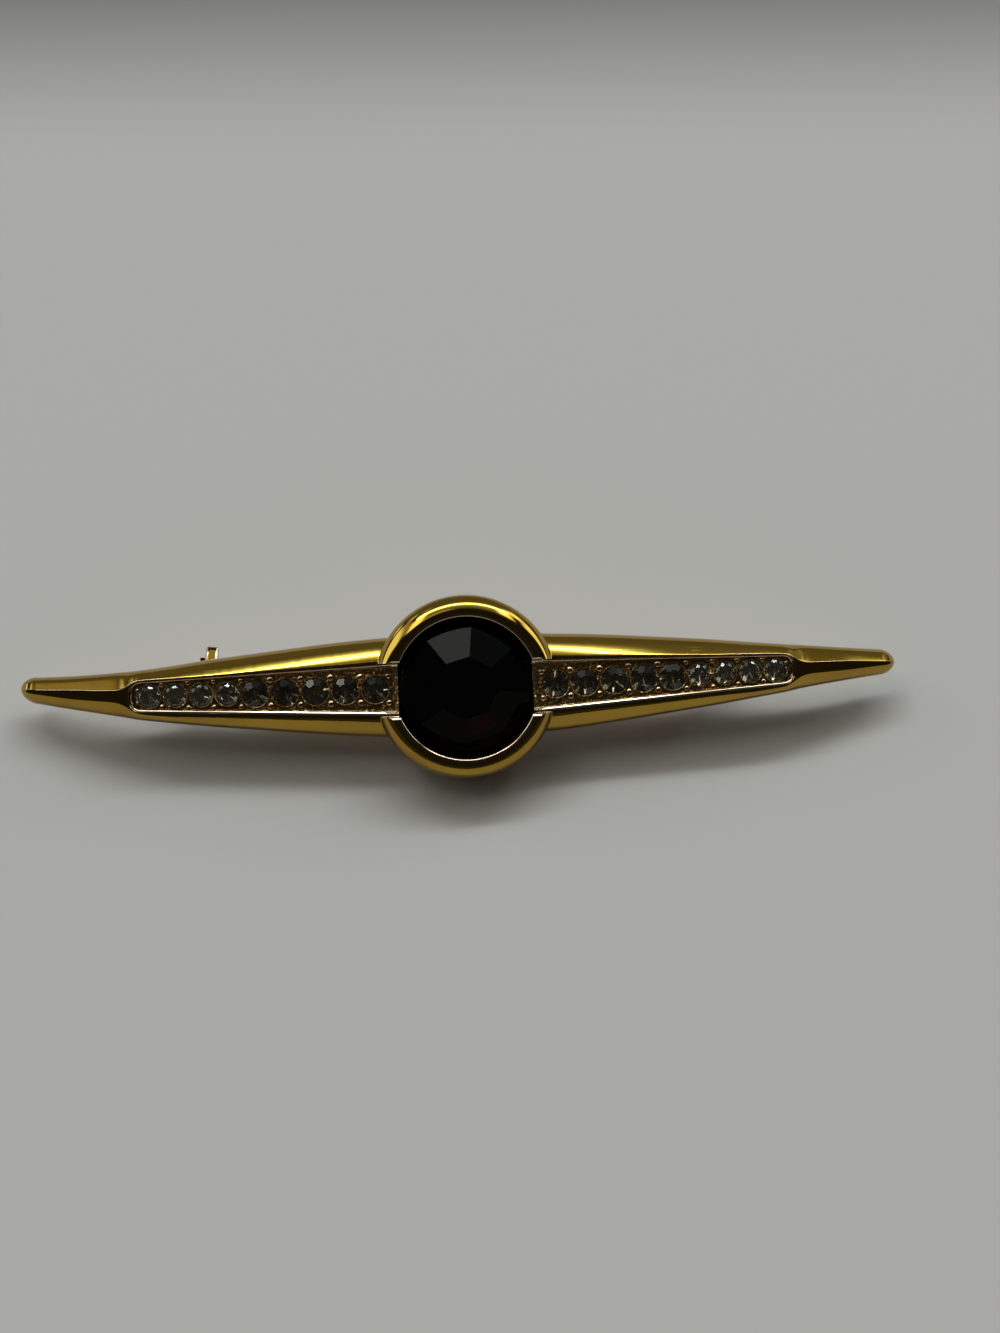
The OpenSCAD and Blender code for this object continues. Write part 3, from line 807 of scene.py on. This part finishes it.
def catch_parts():
    """The hook on its plate, with its thumb tab."""
    seat = Matrix.Translation((-FITTING_PLACE, PIN_RISE, 0))
    plate = block(PLATE_LOW, PLATE_HIGH, FILED)
    neck = block(NECK_LOW, NECK_HIGH, FILED)
    strip = ((-HOOK_HALF, HOOK_BORE), (HOOK_HALF, HOOK_BORE), (HOOK_HALF, HOOK_RADIUS),
             (-HOOK_HALF, HOOK_RADIUS))
    turns = [radians(HOOK_START - HOOK_SWEEP * i / HOOK_STEPS) for i in range(HOOK_STEPS + 1)]
    hook = skin([[(x, -r * sin(turn), r * cos(turn)) for x, r in strip] for turn in turns])
    moved(hook, Matrix.Translation((0, 0, -PIN_DEPTH)))
    tab = block(TAB_LOW, TAB_HIGH, TAB_FILED)
    top = [max(tab.faces, key=lambda face: face.calc_area() * (face.normal.z > 0.9))]
    bmesh.ops.inset_region(tab, faces=top, thickness=TAB_WALL, depth=0.0)
    bmesh.ops.translate(tab, verts=top[0].verts, vec=(0, 0, -TAB_HOLLOW))
    moved(tab, Matrix.Translation(TAB_HEEL) @ Matrix.Rotation(TAB_TURN, 4, "Z")
          @ Matrix.Rotation(TAB_LEAN, 4, "X") @ Matrix.Translation(-TAB_HEEL))
    foot = block(FOOT_LOW, FOOT_HIGH, FOOT_FILED)
    return [moved(part, seat) for part in (plate, neck, hook, tab, foot)]


print("the catch sits", FITTING_PLACE, "mm left of the middle")

# %% [markdown]
# ## Hinge
# Two ears stand on a second plate, with a rivet through them that has a domed head at each
# end. A low block between the ears ties them together at the foot. The ears and the rivet are
# turned about Z and then laid across the brooch.

# %% The hinge
HINGE_WIDTH, HINGE_SLOT, EAR, EAR_EDGE = 2.4, 0.9, 0.86, 0.06
EAR_NECK, NECK_INSET, NECK_TOP = 0.8, 0.02, -0.2
TIE_LOW, TIE_HIGH = (-0.77, -0.5, -1.2), (0.77, 0.5, -0.25)
RIVET = 0.3
RIVET_HEAD = ((RIVET, 1.15), (0.42, 1.15), (0.42, 1.22), (0.25, 1.28), (0, 1.3))
EAR_STEPS, RIVET_STEPS = 48, 32
ACROSS = Matrix.Rotation(-pi / 2, 4, "X")


def disc(low, high, radius, edge, steps):
    """A round disc between two heights, with its edges filed off."""
    return lathe([(0, low), (radius - edge, low), (radius, low + edge), (radius, high - edge),
                  (radius - edge, high), (0, high)], steps)


def hinge_parts():
    """Two ears on a plate, a low block between them and a rivet through them."""
    seat = Matrix.Translation((FITTING_PLACE, PIN_RISE, 0))
    parts = [block(PLATE_LOW, PLATE_HIGH, FILED)]
    for side in (-1, 1):
        inner, outer = side * HINGE_SLOT / 2, side * HINGE_WIDTH / 2
        low, high = min(inner, outer), max(inner, outer)
        neck = block((-EAR_NECK, low + NECK_INSET, -PIN_DEPTH),
                     (EAR_NECK, high - NECK_INSET, NECK_TOP))
        end = disc(low, high, EAR, EAR_EDGE, EAR_STEPS)
        moved(end, Matrix.Translation((0, 0, -PIN_DEPTH)) @ ACROSS)
        parts += [neck, end]
    parts.append(block(TIE_LOW, TIE_HIGH))
    rivet = lathe([(radius, -far) for radius, far in reversed(RIVET_HEAD)]
                  + list(RIVET_HEAD), RIVET_STEPS)
    moved(rivet, Matrix.Translation((0, 0, -PIN_DEPTH)) @ ACROSS)
    return [moved(part, seat) for part in parts + [rivet]]


print("catch and hinge are", round(2 * FITTING_PLACE, 1), "mm apart")

# %% [markdown]
# ## One casting
# Everything above is one piece of metal on the real brooch, so the solids are joined to one.
# Three finishes lie on it: gold, a near-black painted shade on the wall inside the cup, and the
# rubbed bevel round the cup's edge. Each face gets its finish by where it lies.

# %% Join the body
ARM_SEED = 3
WALL_MARGIN, BEVEL_REACH, BEVEL_MARGIN = 0.005, 0.085, 0.02
POLISHED, SHADED_CUP, ON_BEVEL = range(3)

arms = {}
for number, side in enumerate(("left", "right")):
    cut = moved(channel(), on_arm(side))
    drawn = arm(side, ARM_SEED + number)
    if side == "left":
        moved(drawn, Matrix.Scale(-1, 4, (1, 0, 0)))
    arms[side] = combined(drawn, [cut], "DIFFERENCE")
hoop = combined(ring(), [moved(ring_gap(), on_arm(side)) for side in ("left", "right")],
                "DIFFERENCE")
body = combined(hoop, [arms["left"], arms["right"]] + catch_parts() + hinge_parts(), "UNION")
for face in body.faces:
    middle = face.calc_center_median()
    across = hypot(middle.x, middle.y) - CUP_RADIUS
    # faces of the cup's wall take the near-black painted shade
    if across < WALL_MARGIN and 0 < middle.z < RING_HEIGHT - CUP_BEVEL:
        face.material_index = SHADED_CUP
    elif across < BEVEL_REACH and middle.z > RING_HEIGHT - CUP_BEVEL - BEVEL_MARGIN:
        face.material_index = ON_BEVEL
    else:
        face.material_index = POLISHED
finished(body, "polished_body", "body", [gold, shaded_cup_wall, rose])

# %% [markdown]
# ## Trays
# A tray is cast in one piece too: a flat rim, a lower floor, a round collar that hugs each
# crystal, and small beads between the collars that hold the stones.

# %% Places of the crystals
LARGE, SMALL, LARGE_PITCH, SMALL_PITCH, FIRST = 1.3, 1.1, 2.87, 2.48, 8.7
LARGE_COUNT, CRYSTAL_COUNT = 5, 9


def crystal_place(i):
    """Distance of crystal i from the middle, along the arm."""
    if i <= LARGE_COUNT:
        return FIRST + (i - 1) * LARGE_PITCH
    return (FIRST + (LARGE_COUNT - 1) * LARGE_PITCH + (LARGE_PITCH + SMALL_PITCH) / 2
            + (i - LARGE_COUNT - 1) * SMALL_PITCH)


def crystal_radius(i):
    """Radius of crystal i."""
    return LARGE if i <= LARGE_COUNT else SMALL


def tray_half(distance):
    """Half the tray's width at a distance from the middle."""
    return TRAY_WIDTH_OUT / 2 + (TRAY_WIDTH - TRAY_WIDTH_OUT) / 2 * (
        TRAY_END - distance) / (TRAY_END - TRAY_START)


print("crystals at", [round(crystal_place(i), 2) for i in range(1, CRYSTAL_COUNT + 1)], "mm")

# %% [markdown]
# The collars and the holes in them are round, so each is one short table of rows that is
# turned and set at every crystal. A collar hugs the crystal's widest line, and the hole opens a
# little above it.

# %% Collars and holes
COLLAR_ROWS = (  # outwards from the crystal's edge, height
    (0.13, -0.9), (0.13, -0.26), (0.10, -0.20), (0.04, -0.18))
HOLE_ROWS = (  # the same
    (0.015, -1.38), (0.015, -0.25), (0.10, -0.18), (0.10, 0.3))
ROUND_STEPS = 64


def set_along(rows):
    """Turns a closed shape for each crystal and sets it at the crystal's place, in one mesh."""
    joined = bmesh.new()
    for i in range(1, CRYSTAL_COUNT + 1):
        profile = [(crystal_radius(i) + past, height) for past, height in rows]
        shape = lathe([(0, rows[0][1])] + profile + [(0, rows[-1][1])], ROUND_STEPS)
        moved(shape, Matrix.Translation((crystal_place(i), 0, 0)))
        mesh = bpy.data.meshes.new("part")
        shape.to_mesh(mesh)
        shape.free()
        joined.from_mesh(mesh)
        bpy.data.meshes.remove(mesh)
    return joined


print("a large collar is", round(2 * (LARGE + COLLAR_ROWS[0][0]), 2), "mm across")

# %% [markdown]
# The beads are small round lumps of the casting between two crystals, one on each side of the
# row. No two are quite alike, so each is moved by a few hundredths of a millimetre.

# %% Beads
RIM = 0.24
BEAD_LARGE, BEAD_SMALL, BEAD_REACH, BEAD_SHARE, BEAD_SINK = 0.40, 0.30, 1.26, 0.7, 0.08
FIRST_BEAD = (crystal_place(1) - 1.27, 1.3, 0.33)  # distance, sideways, radius
LAST_BEAD = (TRAY_END - 0.75, 0.6, 0.18)
BEAD_ALONG, BEAD_ASIDE, BEAD_DETAIL = 0.04, 0.03, 3


def beads_along(draw):
    """Two beads between each two crystals, and two at each end of the row."""
    spots = [FIRST_BEAD]
    for i in range(1, CRYSTAL_COUNT):
        middle = (crystal_place(i) + crystal_place(i + 1)) / 2
        reach = tray_half(middle) - RIM
        size = BEAD_LARGE if i < LARGE_COUNT else BEAD_SMALL
        spots.append((middle, min(BEAD_REACH, reach - BEAD_SHARE * size), size))
    beads = []
    for distance, offset, size in spots + [LAST_BEAD]:
        for sign in (-1, 1):
            bead = bmesh.new()
            spot = (distance + draw.uniform(-BEAD_ALONG, BEAD_ALONG),
                    sign * offset + draw.uniform(-BEAD_ASIDE, BEAD_ASIDE),
                    -BEAD_SINK - size + draw.uniform(-BEAD_ASIDE, BEAD_ASIDE))
            bmesh.ops.create_icosphere(bead, subdivisions=BEAD_DETAIL, radius=size,
                                       matrix=Matrix.Translation(spot))
            beads.append(bead)
    return beads


print("beads in a tray:", 2 * (CRYSTAL_COUNT + 1))

# %% [markdown]
# A tray starts as a plain blank. Its pocket is sunk, collars and beads are added on the
# pocket's floor, the holes are bored, and the end is cut to the large stone's edge. What lies
# below the polished rim keeps the rough finish of the casting.

# %% Build a tray
BLANK_ROWS = ((0, -TRAY_DEPTH), (0, -0.03), (-0.02, 0))  # margin, height
POCKET_ROWS = ((-RIM - 0.03, -FLOOR_DEPTH), (-RIM, -0.30), (-0.15, -0.099), (-0.07, -0.027),
               (-0.03, -0.003), (0.03, 0.03))
POCKET_START = TRAY_START - 1
CAST_TOP, STONE_LEDGE, LEDGE_STEPS, TRAY_SEED = -0.20, 2.78, 128, 11


def tray(side, seed):
    """One tray in place on its arm."""
    beads = beads_along(random.Random(seed))
    blank = skin([tray_row(TRAY_START, margin, z) for margin, z in BLANK_ROWS])
    pocket = skin([tray_row(POCKET_START, margin, z) for margin, z in POCKET_ROWS])
    solid = combined(blank, [pocket], "DIFFERENCE")
    solid = combined(solid, [set_along(COLLAR_ROWS)] + beads, "UNION")
    solid = combined(solid, [set_along(HOLE_ROWS)], "DIFFERENCE")
    for face in solid.faces:
        face.material_index = int(face.calc_center_median().z < CAST_TOP)
    moved(solid, on_arm(side))
    ledge = lathe([(0, 0), (CUP_RADIUS + GAP, 0), (CUP_RADIUS + GAP, STONE_LEDGE),
                   (0, STONE_LEDGE)], LEDGE_STEPS)
    return combined(solid, [ledge], "DIFFERENCE")


for number, side in enumerate(("left", "right")):
    finished(tray(side, TRAY_SEED + number), f"tray_{side}", f"stone_tray_{side}",
             [rose, rose_cast])

# %% [markdown]
# ## Cutting stones
# A stone cutter starts from a round blank and grinds flats on it one plane at a time. Blender
# can do the same: bisect_plane removes what lies outside a plane, and the cut is filled.

# %% Grinding a facet
SLIVER = 1e-3


def grind(bm, tilt, turn, point, material=0):
    """Cuts a flat facet: tilt from level, turned about Z, through a point (radius, height)."""
    direction = Vector((cos(turn) * sin(tilt), sin(turn) * sin(tilt), cos(tilt)))
    co = Vector((cos(turn) * point[0], sin(turn) * point[0], point[1]))
    cut = bmesh.ops.bisect_plane(
        bm, geom=bm.verts[:] + bm.edges[:] + bm.faces[:], dist=TOUCHING, plane_co=co,
        plane_no=direction, clear_outer=True)["geom_cut"]
    edges = [item for item in cut if isinstance(item, bmesh.types.BMEdge)]
    for face in bmesh.ops.contextual_create(bm, geom=edges)["faces"]:
        face.material_index = material
    bmesh.ops.remove_doubles(bm, verts=bm.verts, dist=SLIVER)


trial = block((-1, -1, -1), (1, 1, 1))
grind(trial, radians(45), 0, (1, 0.5))
print("a trial block with one edge ground off:", len(trial.faces), "faces")
trial.free()

# %% [markdown]
# ## Small crystals
# A round crystal has a level table on top, eight main and eight smaller facets round it, and
# sixteen short ones down to its widest line. Sixteen more on the foiled underside run towards
# a point that is ground off, alternately steep and steeper. Each is a little uneven.

# %% Cutting a crystal
TABLE_SHARE, CROWN_SHARE, TABLE_LEVEL = 0.56, 0.34, 0.93  # of the radius, and of the crown
MAIN_FACETS, SHORT_FACETS, FACET_SHARE, MAIN_HEIGHT = 8, 16, 0.985, 0.05
STAR_TILT, EDGE_TILT, UNDER_TILT = 19, 47, 41  # degrees from level
POINT_BELOW, POINT_SHARE, CUT_SHARE, CRYSTAL_SINK = 0.08, 0.80, 0.83, 0.26
BLANK_ROOM, BLANK_STEPS = 0.1, 48
TILT_ERROR, TURN_ERROR = (-0.8, 1.2), 0.05  # in degrees, and in radians


def crystal(radius, turn, crown_tilt, shallow_tilt, draw):
    """A round crystal: its crown is the first material, its foiled underside the second."""
    table, crown, point = (TABLE_SHARE * radius, CROWN_SHARE * radius,
                           POINT_BELOW + POINT_SHARE * radius)
    bm = lathe([(0, -radius), (radius, -radius), (radius, crown + BLANK_ROOM),
                (0, crown + BLANK_ROOM)], BLANK_STEPS)
    grind(bm, 0, 0, (0, crown * TABLE_LEVEL))
    for i in range(MAIN_FACETS):
        angle = turn + 2 * i * pi / MAIN_FACETS
        grind(bm, radians(crown_tilt), angle, (radius * FACET_SHARE, MAIN_HEIGHT))
        grind(bm, radians(STAR_TILT), angle + pi / MAIN_FACETS,
              (table * FACET_SHARE, crown * TABLE_LEVEL))
    short_turns = [turn + (2 * i + 1) * pi / SHORT_FACETS for i in range(SHORT_FACETS)]
    for angle in short_turns:
        grind(bm, radians(EDGE_TILT), angle, (radius, 0.0))
    for i, angle in enumerate(short_turns):
        tilt = (shallow_tilt if i % 2 else UNDER_TILT) + draw.uniform(*TILT_ERROR)
        grind(bm, radians(180 - tilt), angle + draw.uniform(-TURN_ERROR, TURN_ERROR),
              (0, -point), 1)
    grind(bm, pi, 0, (0, -CUT_SHARE * radius), 1)
    return moved(bm, Matrix.Translation((0, 0, -CRYSTAL_SINK)))


print("flats ground on a crystal:", 2 + 2 * MAIN_FACETS + 2 * SHORT_FACETS)

# %% [markdown]
# The smaller crystals have a steeper crown and brighter foil than the larger ones, so they
# sparkle whiter. Each crystal is glued in at its own turn and leans a degree or two, which is
# why no two of a row flash alike.

# %% Cut and set the crystals
LARGE_CUT, SMALL_CUT = (29, 38.5), (38.4, 36)  # tilts of the crown and of the underside
MOST_LEAN, CRYSTAL_SHARP, CRYSTAL_SEED = 3, 4, 29
draw = random.Random(CRYSTAL_SEED)
for side in ("left", "right"):
    for i in range(1, CRYSTAL_COUNT + 1):
        large = i <= LARGE_COUNT
        stone = crystal(crystal_radius(i), draw.uniform(0, pi / 4),
                        *(LARGE_CUT if large else SMALL_CUT), draw)
        wobble = (Matrix.Rotation(radians(draw.uniform(-MOST_LEAN, MOST_LEAN)), 4, "X")
                  @ Matrix.Rotation(radians(draw.uniform(-MOST_LEAN, MOST_LEAN)), 4, "Y"))
        moved(stone, on_arm(side) @ Matrix.Translation((crystal_place(i), 0, 0)) @ wobble)
        finished(stone, f"cut_crystal_{side}_{i}", f"crystal_{side}_{i}",
                 [crystal_glass, darkened_foil if large else crystal_foil],
                 sharp=CRYSTAL_SHARP)

# %% [markdown]
# ## The large stone
# It is pressed dark red glass with eight large facets round an octagonal table. Its edge is
# left round and polished, and a red foil covers its underside.

# %% Cut the large stone
STONE_TURN, STONE_RADIUS, FACET_RADIUS, FACET_HEIGHT = radians(-6.5), 6.8, 6.15, 3.0
TABLE_RADIUS, TABLE_HEIGHT, STONE_STEPS, STONE_SHARP = 3.05, 4.5, 128, 9
BACK_TILT, BACK_RADIUS, BACK_HEIGHT, FOILED_BELOW = 14, STONE_RADIUS - 0.1, 1.95, -0.2
STONE_FACETS, BACK_FACETS = 8, 16
STONE_PROFILE = (  # radius, height; the blank is higher than the table
    (0, 0.84), (1.2, 0.84), (STONE_RADIUS - 0.02, 1.98), (STONE_RADIUS, 2.0),
    (STONE_RADIUS, 2.3), (6.74, 2.42), (6.64, 2.56), (6.5, 2.73), (6.34, 2.9), (6.2, 3.06),
    (6.1, 3.22), (6.05, 3.4), (6.05, 4.7), (0, 4.7))


def large_stone():
    """The large stone: red glass, with foil on every face that looks down."""
    bm = lathe(STONE_PROFILE, STONE_STEPS)
    slope = atan2(TABLE_HEIGHT - FACET_HEIGHT, FACET_RADIUS - TABLE_RADIUS * cos(pi / STONE_FACETS))
    grind(bm, 0, 0, (0, TABLE_HEIGHT))
    for i in range(STONE_FACETS):
        grind(bm, slope, STONE_TURN + (2 * i + 1) * pi / STONE_FACETS,
              (FACET_RADIUS, FACET_HEIGHT))
    for i in range(BACK_FACETS):
        grind(bm, radians(180 - BACK_TILT), STONE_TURN + (2 * i + 1) * pi / BACK_FACETS,
              (BACK_RADIUS, BACK_HEIGHT), 1)
    for face in bm.faces:
        if face.normal.z < FOILED_BELOW:
            face.material_index = 1
    return bm


finished(large_stone(), "large_red_stone", "centre_stone", [red_glass, red_foil],
         sharp=STONE_SHARP)

# %% [markdown]
# ## The pin
# The pin is one length of drawn wire, with an eye round the hinge's rivet and a ground point
# that rests in the hook. It is a skin over circles that shrink towards the point.

# %% Draw and point the pin
PIN_PAST_CATCH, PIN_POINT = 2.6, 3.0
PIN_RADIUS, PIN_TIP, PIN_TAPER, PIN_CURVE = 0.4, 0.06, 0.34, 0.7
WIRE_STEPS, FIRST_ROWS, ROW_COUNT, ROW_START, ROW_PITCH = 24, [0.0, 0.2], 12, 2, 4
POINT_STEPS = (0.25, 0.5, 0.7, 0.85, 0.94, 0.99)
EYE, EYE_EDGE, HOLE_REACH = 0.75, 0.06, 1


def pin():
    """The pin in place, closed: its eye on the rivet and its point past the hook."""
    length = 2 * FITTING_PLACE + PIN_PAST_CATCH
    rows = []
    steps = FIRST_ROWS + [ROW_START + i * ROW_PITCH for i in range(ROW_COUNT)]
    steps += [length - PIN_POINT]
    steps += [length - PIN_POINT * (1 - t) for t in POINT_STEPS]
    for x in steps:
        left = (length - x) / PIN_POINT
        radius = PIN_RADIUS if left >= 1 else PIN_TIP + PIN_TAPER * left ** PIN_CURVE
        turns = [2 * pi * i / WIRE_STEPS for i in range(WIRE_STEPS)]
        rows.append([(-x, radius * cos(turn), radius * sin(turn)) for turn in turns])
    stem = skin(rows)
    half = HINGE_SLOT / 2 - GAP
    eye = moved(disc(-half, half, EYE, EYE_EDGE, EAR_STEPS), ACROSS)
    bore = [(0, -HOLE_REACH), (RIVET + GAP, -HOLE_REACH), (RIVET + GAP, HOLE_REACH),
            (0, HOLE_REACH)]
    hole = moved(lathe(bore, RIVET_STEPS), ACROSS)
    solid = combined(combined(stem, [eye], "UNION"), [hole], "DIFFERENCE")
    return moved(solid, Matrix.Translation((FITTING_PLACE, PIN_RISE, -PIN_DEPTH)))


finished(pin(), "pin_wire", "pin_stem", [wire])

# %% [markdown]
# ## Floor
# The photo shows a plain pale surface that gets darker towards the far side. One flat face is
# enough for it.

# %% Floor
# Past SHADE_FROM the floor's colour turns darker towards the far side: that is painted shade.
NEAR_PAINT, FAR_PAINTED_SHADE = (0.635, 0.574, 0.524), (0.215, 0.194, 0.178)
SHADE_FROM, SHADE_TO = 0.064, 0.096  # metres behind the brooch
FLOOR_HALF, FLOOR_ROUGHNESS, FLOOR_SPECULAR = 1.5, 0.7, 0.2

floor_colour_and_shade, tree, shader = new_material("pale_floor")
place = add(tree, "ShaderNodeTexCoord").outputs["Object"]
behind = add(tree, "ShaderNodeSeparateXYZ", Vector=place).outputs["Y"]
shaded_floor_colour = blend(tree, remap(tree, behind, SHADE_FROM, SHADE_TO), NEAR_PAINT, FAR_PAINTED_SHADE)
tree.links.new(shaded_floor_colour, shader.inputs["Base Color"])
shader.inputs["Roughness"].default_value = FLOOR_ROUGHNESS
shader.inputs["Specular IOR Level"].default_value = FLOOR_SPECULAR
floor = bmesh.new()
bmesh.ops.create_grid(floor, x_segments=1, y_segments=1, size=FLOOR_HALF)
floor = as_object(floor, "pale_floor")
floor.data.materials.append(floor_colour_and_shade)
print("floor:", floor.name, "with", len(floor.data.polygons), "face")

# %% [markdown]
# ## Light
# Polished metal shows nothing but what it mirrors, so the room is drawn in the world shader as
# soft shapes in certain directions, which also cast the soft shadows. A direction is told by
# its rise, an angle that is 0 in front of the brooch, 90 overhead and 180 behind it, and by x.

# %% Directions in the world
world = bpy.data.worlds.new("soft_window")
bpy.context.scene.world = world
world.use_nodes = True
tree = world.node_tree
tree.nodes.clear()
direction = add(tree, "ShaderNodeTexCoord").outputs["Generated"]
parts = add(tree, "ShaderNodeSeparateXYZ", Vector=direction)
x, y, z = parts.outputs
rise = maths(tree, "ARCTAN2", z, maths(tree, "MULTIPLY", y, -1.0))


def soft_band(value, low, high, soft):
    """1 between two values and 0 outside them, with soft edges."""
    return maths(tree, "MULTIPLY", remap(tree, value, low - soft, low + soft),
                 remap(tree, value, high - soft, high + soft, 1.0, 0.0))


print("nodes for directions:", len(tree.nodes))

# %% [markdown]
# There are three kinds of light: a glow, which is a window whose light dies away on both sides
# of a line, a panel with soft edges, and a round patch. All are worked out with Math nodes, so
# that no image is needed.

# %% Kinds of light
PATCH_OUTER, PATCH_INNER, PANEL_SOFT, GLOW_SOFT = 1.4, 0.6, 0.05, 0.03


def patch(towards, size, radiance):
    """A round soft patch of light in one direction; size is its radius in degrees."""
    aim = Vector(towards).normalized()
    near = add(tree, "ShaderNodeVectorMath", operation="DOT_PRODUCT", in0=direction, in1=aim)
    return maths(tree, "MULTIPLY", remap(
        tree, near.outputs["Value"], cos(radians(size * PATCH_OUTER)),
        cos(radians(size * PATCH_INNER))), radiance)


def panel(low, high, left, right, soft, radiance):
    """A soft-edged panel between two rise angles in degrees and two values of x."""
    band = soft_band(rise, radians(low), radians(high), radians(soft))
    return maths(tree, "MULTIPLY", maths(
        tree, "MULTIPLY", band, soft_band(x, left, right, PANEL_SOFT)), radiance)


def glow(centre, tilt, above, below, left, right, radiance):
    """Light that dies away on both sides of a line; above and below are how fast."""
    line = maths(tree, "MULTIPLY_ADD", x, radians(tilt), radians(centre))
    over = maths(tree, "SUBTRACT", rise, line)
    fade = maths(tree, "MAXIMUM", maths(tree, "DIVIDE", over, radians(above)),
                 maths(tree, "DIVIDE", over, -radians(below)))
    dying = maths(tree, "EXPONENT", maths(tree, "MULTIPLY", fade, -1.0))
    return maths(tree, "MULTIPLY", maths(
        tree, "MULTIPLY", dying, soft_band(x, left, right, GLOW_SOFT)), radiance)


def background(lights, base, colour):
    """One kind of light: its lights and an even base of the same colour."""
    total = base
    for light in lights:
        total = maths(tree, "ADD", total, light)
    shader = add(tree, "ShaderNodeBackground", Strength=total)
    shader.inputs["Color"].default_value = (*colour, 1)
    return shader


print("kinds of light:", ", ".join(kind.__name__ for kind in (glow, panel, patch)))

# %% [markdown]
# The window behind the brooch is a narrow bright line with a faint glow below it. The light
# beside it is of the same cool colour and lights the sides of the ring and the arms' outer
# ends. The room throws back a little warmer light, in panels that show as short glints, and
# its even base keeps the darkest metal from going black. Angles are in degrees.

# %% Window and room
WINDOW_COLOUR, ROOM_COLOUR, ROOM_BASE = (1.0, 1.15, 1.22), (1.0, 0.98, 0.90), 0.018
WINDOW_GLOWS = (  # centre, tilt, above, below, left, right, radiance
    (136.5, 5, 2.3, 1.4, -0.54, 0.56, 22.0), (134, 0, 3, 9, -0.54, 0.54, 1.1))
WINDOW_PANELS = (  # low, high, left, right, soft, radiance
    (106, 162, -1.1, -0.74, 4, 1.7), (126, 160, 0.74, 1.1, 4, 2.0),
    (154, 162.2, -0.63, -0.55, 1, 1.1), (173, 181, -0.80, -0.70, 2, 2.2),
    (140, 155.5, 0.53, 0.72, 1.5, 2.0), (150, 160.5, 0.60, 0.72, 1.5, 1.6))
ROOM_PANELS = (  # low, high, left, right, soft, radiance
    (105, 130, -0.60, -0.42, 3, 3.0), (117, 139, 0.44, 0.60, 3, 3.0),
    (150, 182, -0.64, 0.62, 4, 0.16), (110, 160, -0.75, -0.62, 4, 0.5),
    (148, 156, -0.47, -0.36, 1.5, 0.35), (158, 174, 0.58, 0.74, 3, 0.3),
    (5, 35, -1.1, 1.1, 8, 0.03))
ROOM_PATCH = ((-0.23, 0.28, 0.93), 10, 0.55)  # direction, size, radiance

window = [glow(*row) for row in WINDOW_GLOWS] + [panel(*row) for row in WINDOW_PANELS]
room = [panel(*row) for row in ROOM_PANELS] + [patch(*ROOM_PATCH)]
both = tree.nodes.new("ShaderNodeAddShader")
for number, shader in enumerate((background(window, 0.0, WINDOW_COLOUR),
                                 background(room, ROOM_BASE, ROOM_COLOUR))):
    tree.links.new(shader.outputs[0], both.inputs[number])
output = tree.nodes.new("ShaderNodeOutputWorld")
tree.links.new(both.outputs[0], output.inputs["Surface"])
print("world lights:", len(window) + len(room))
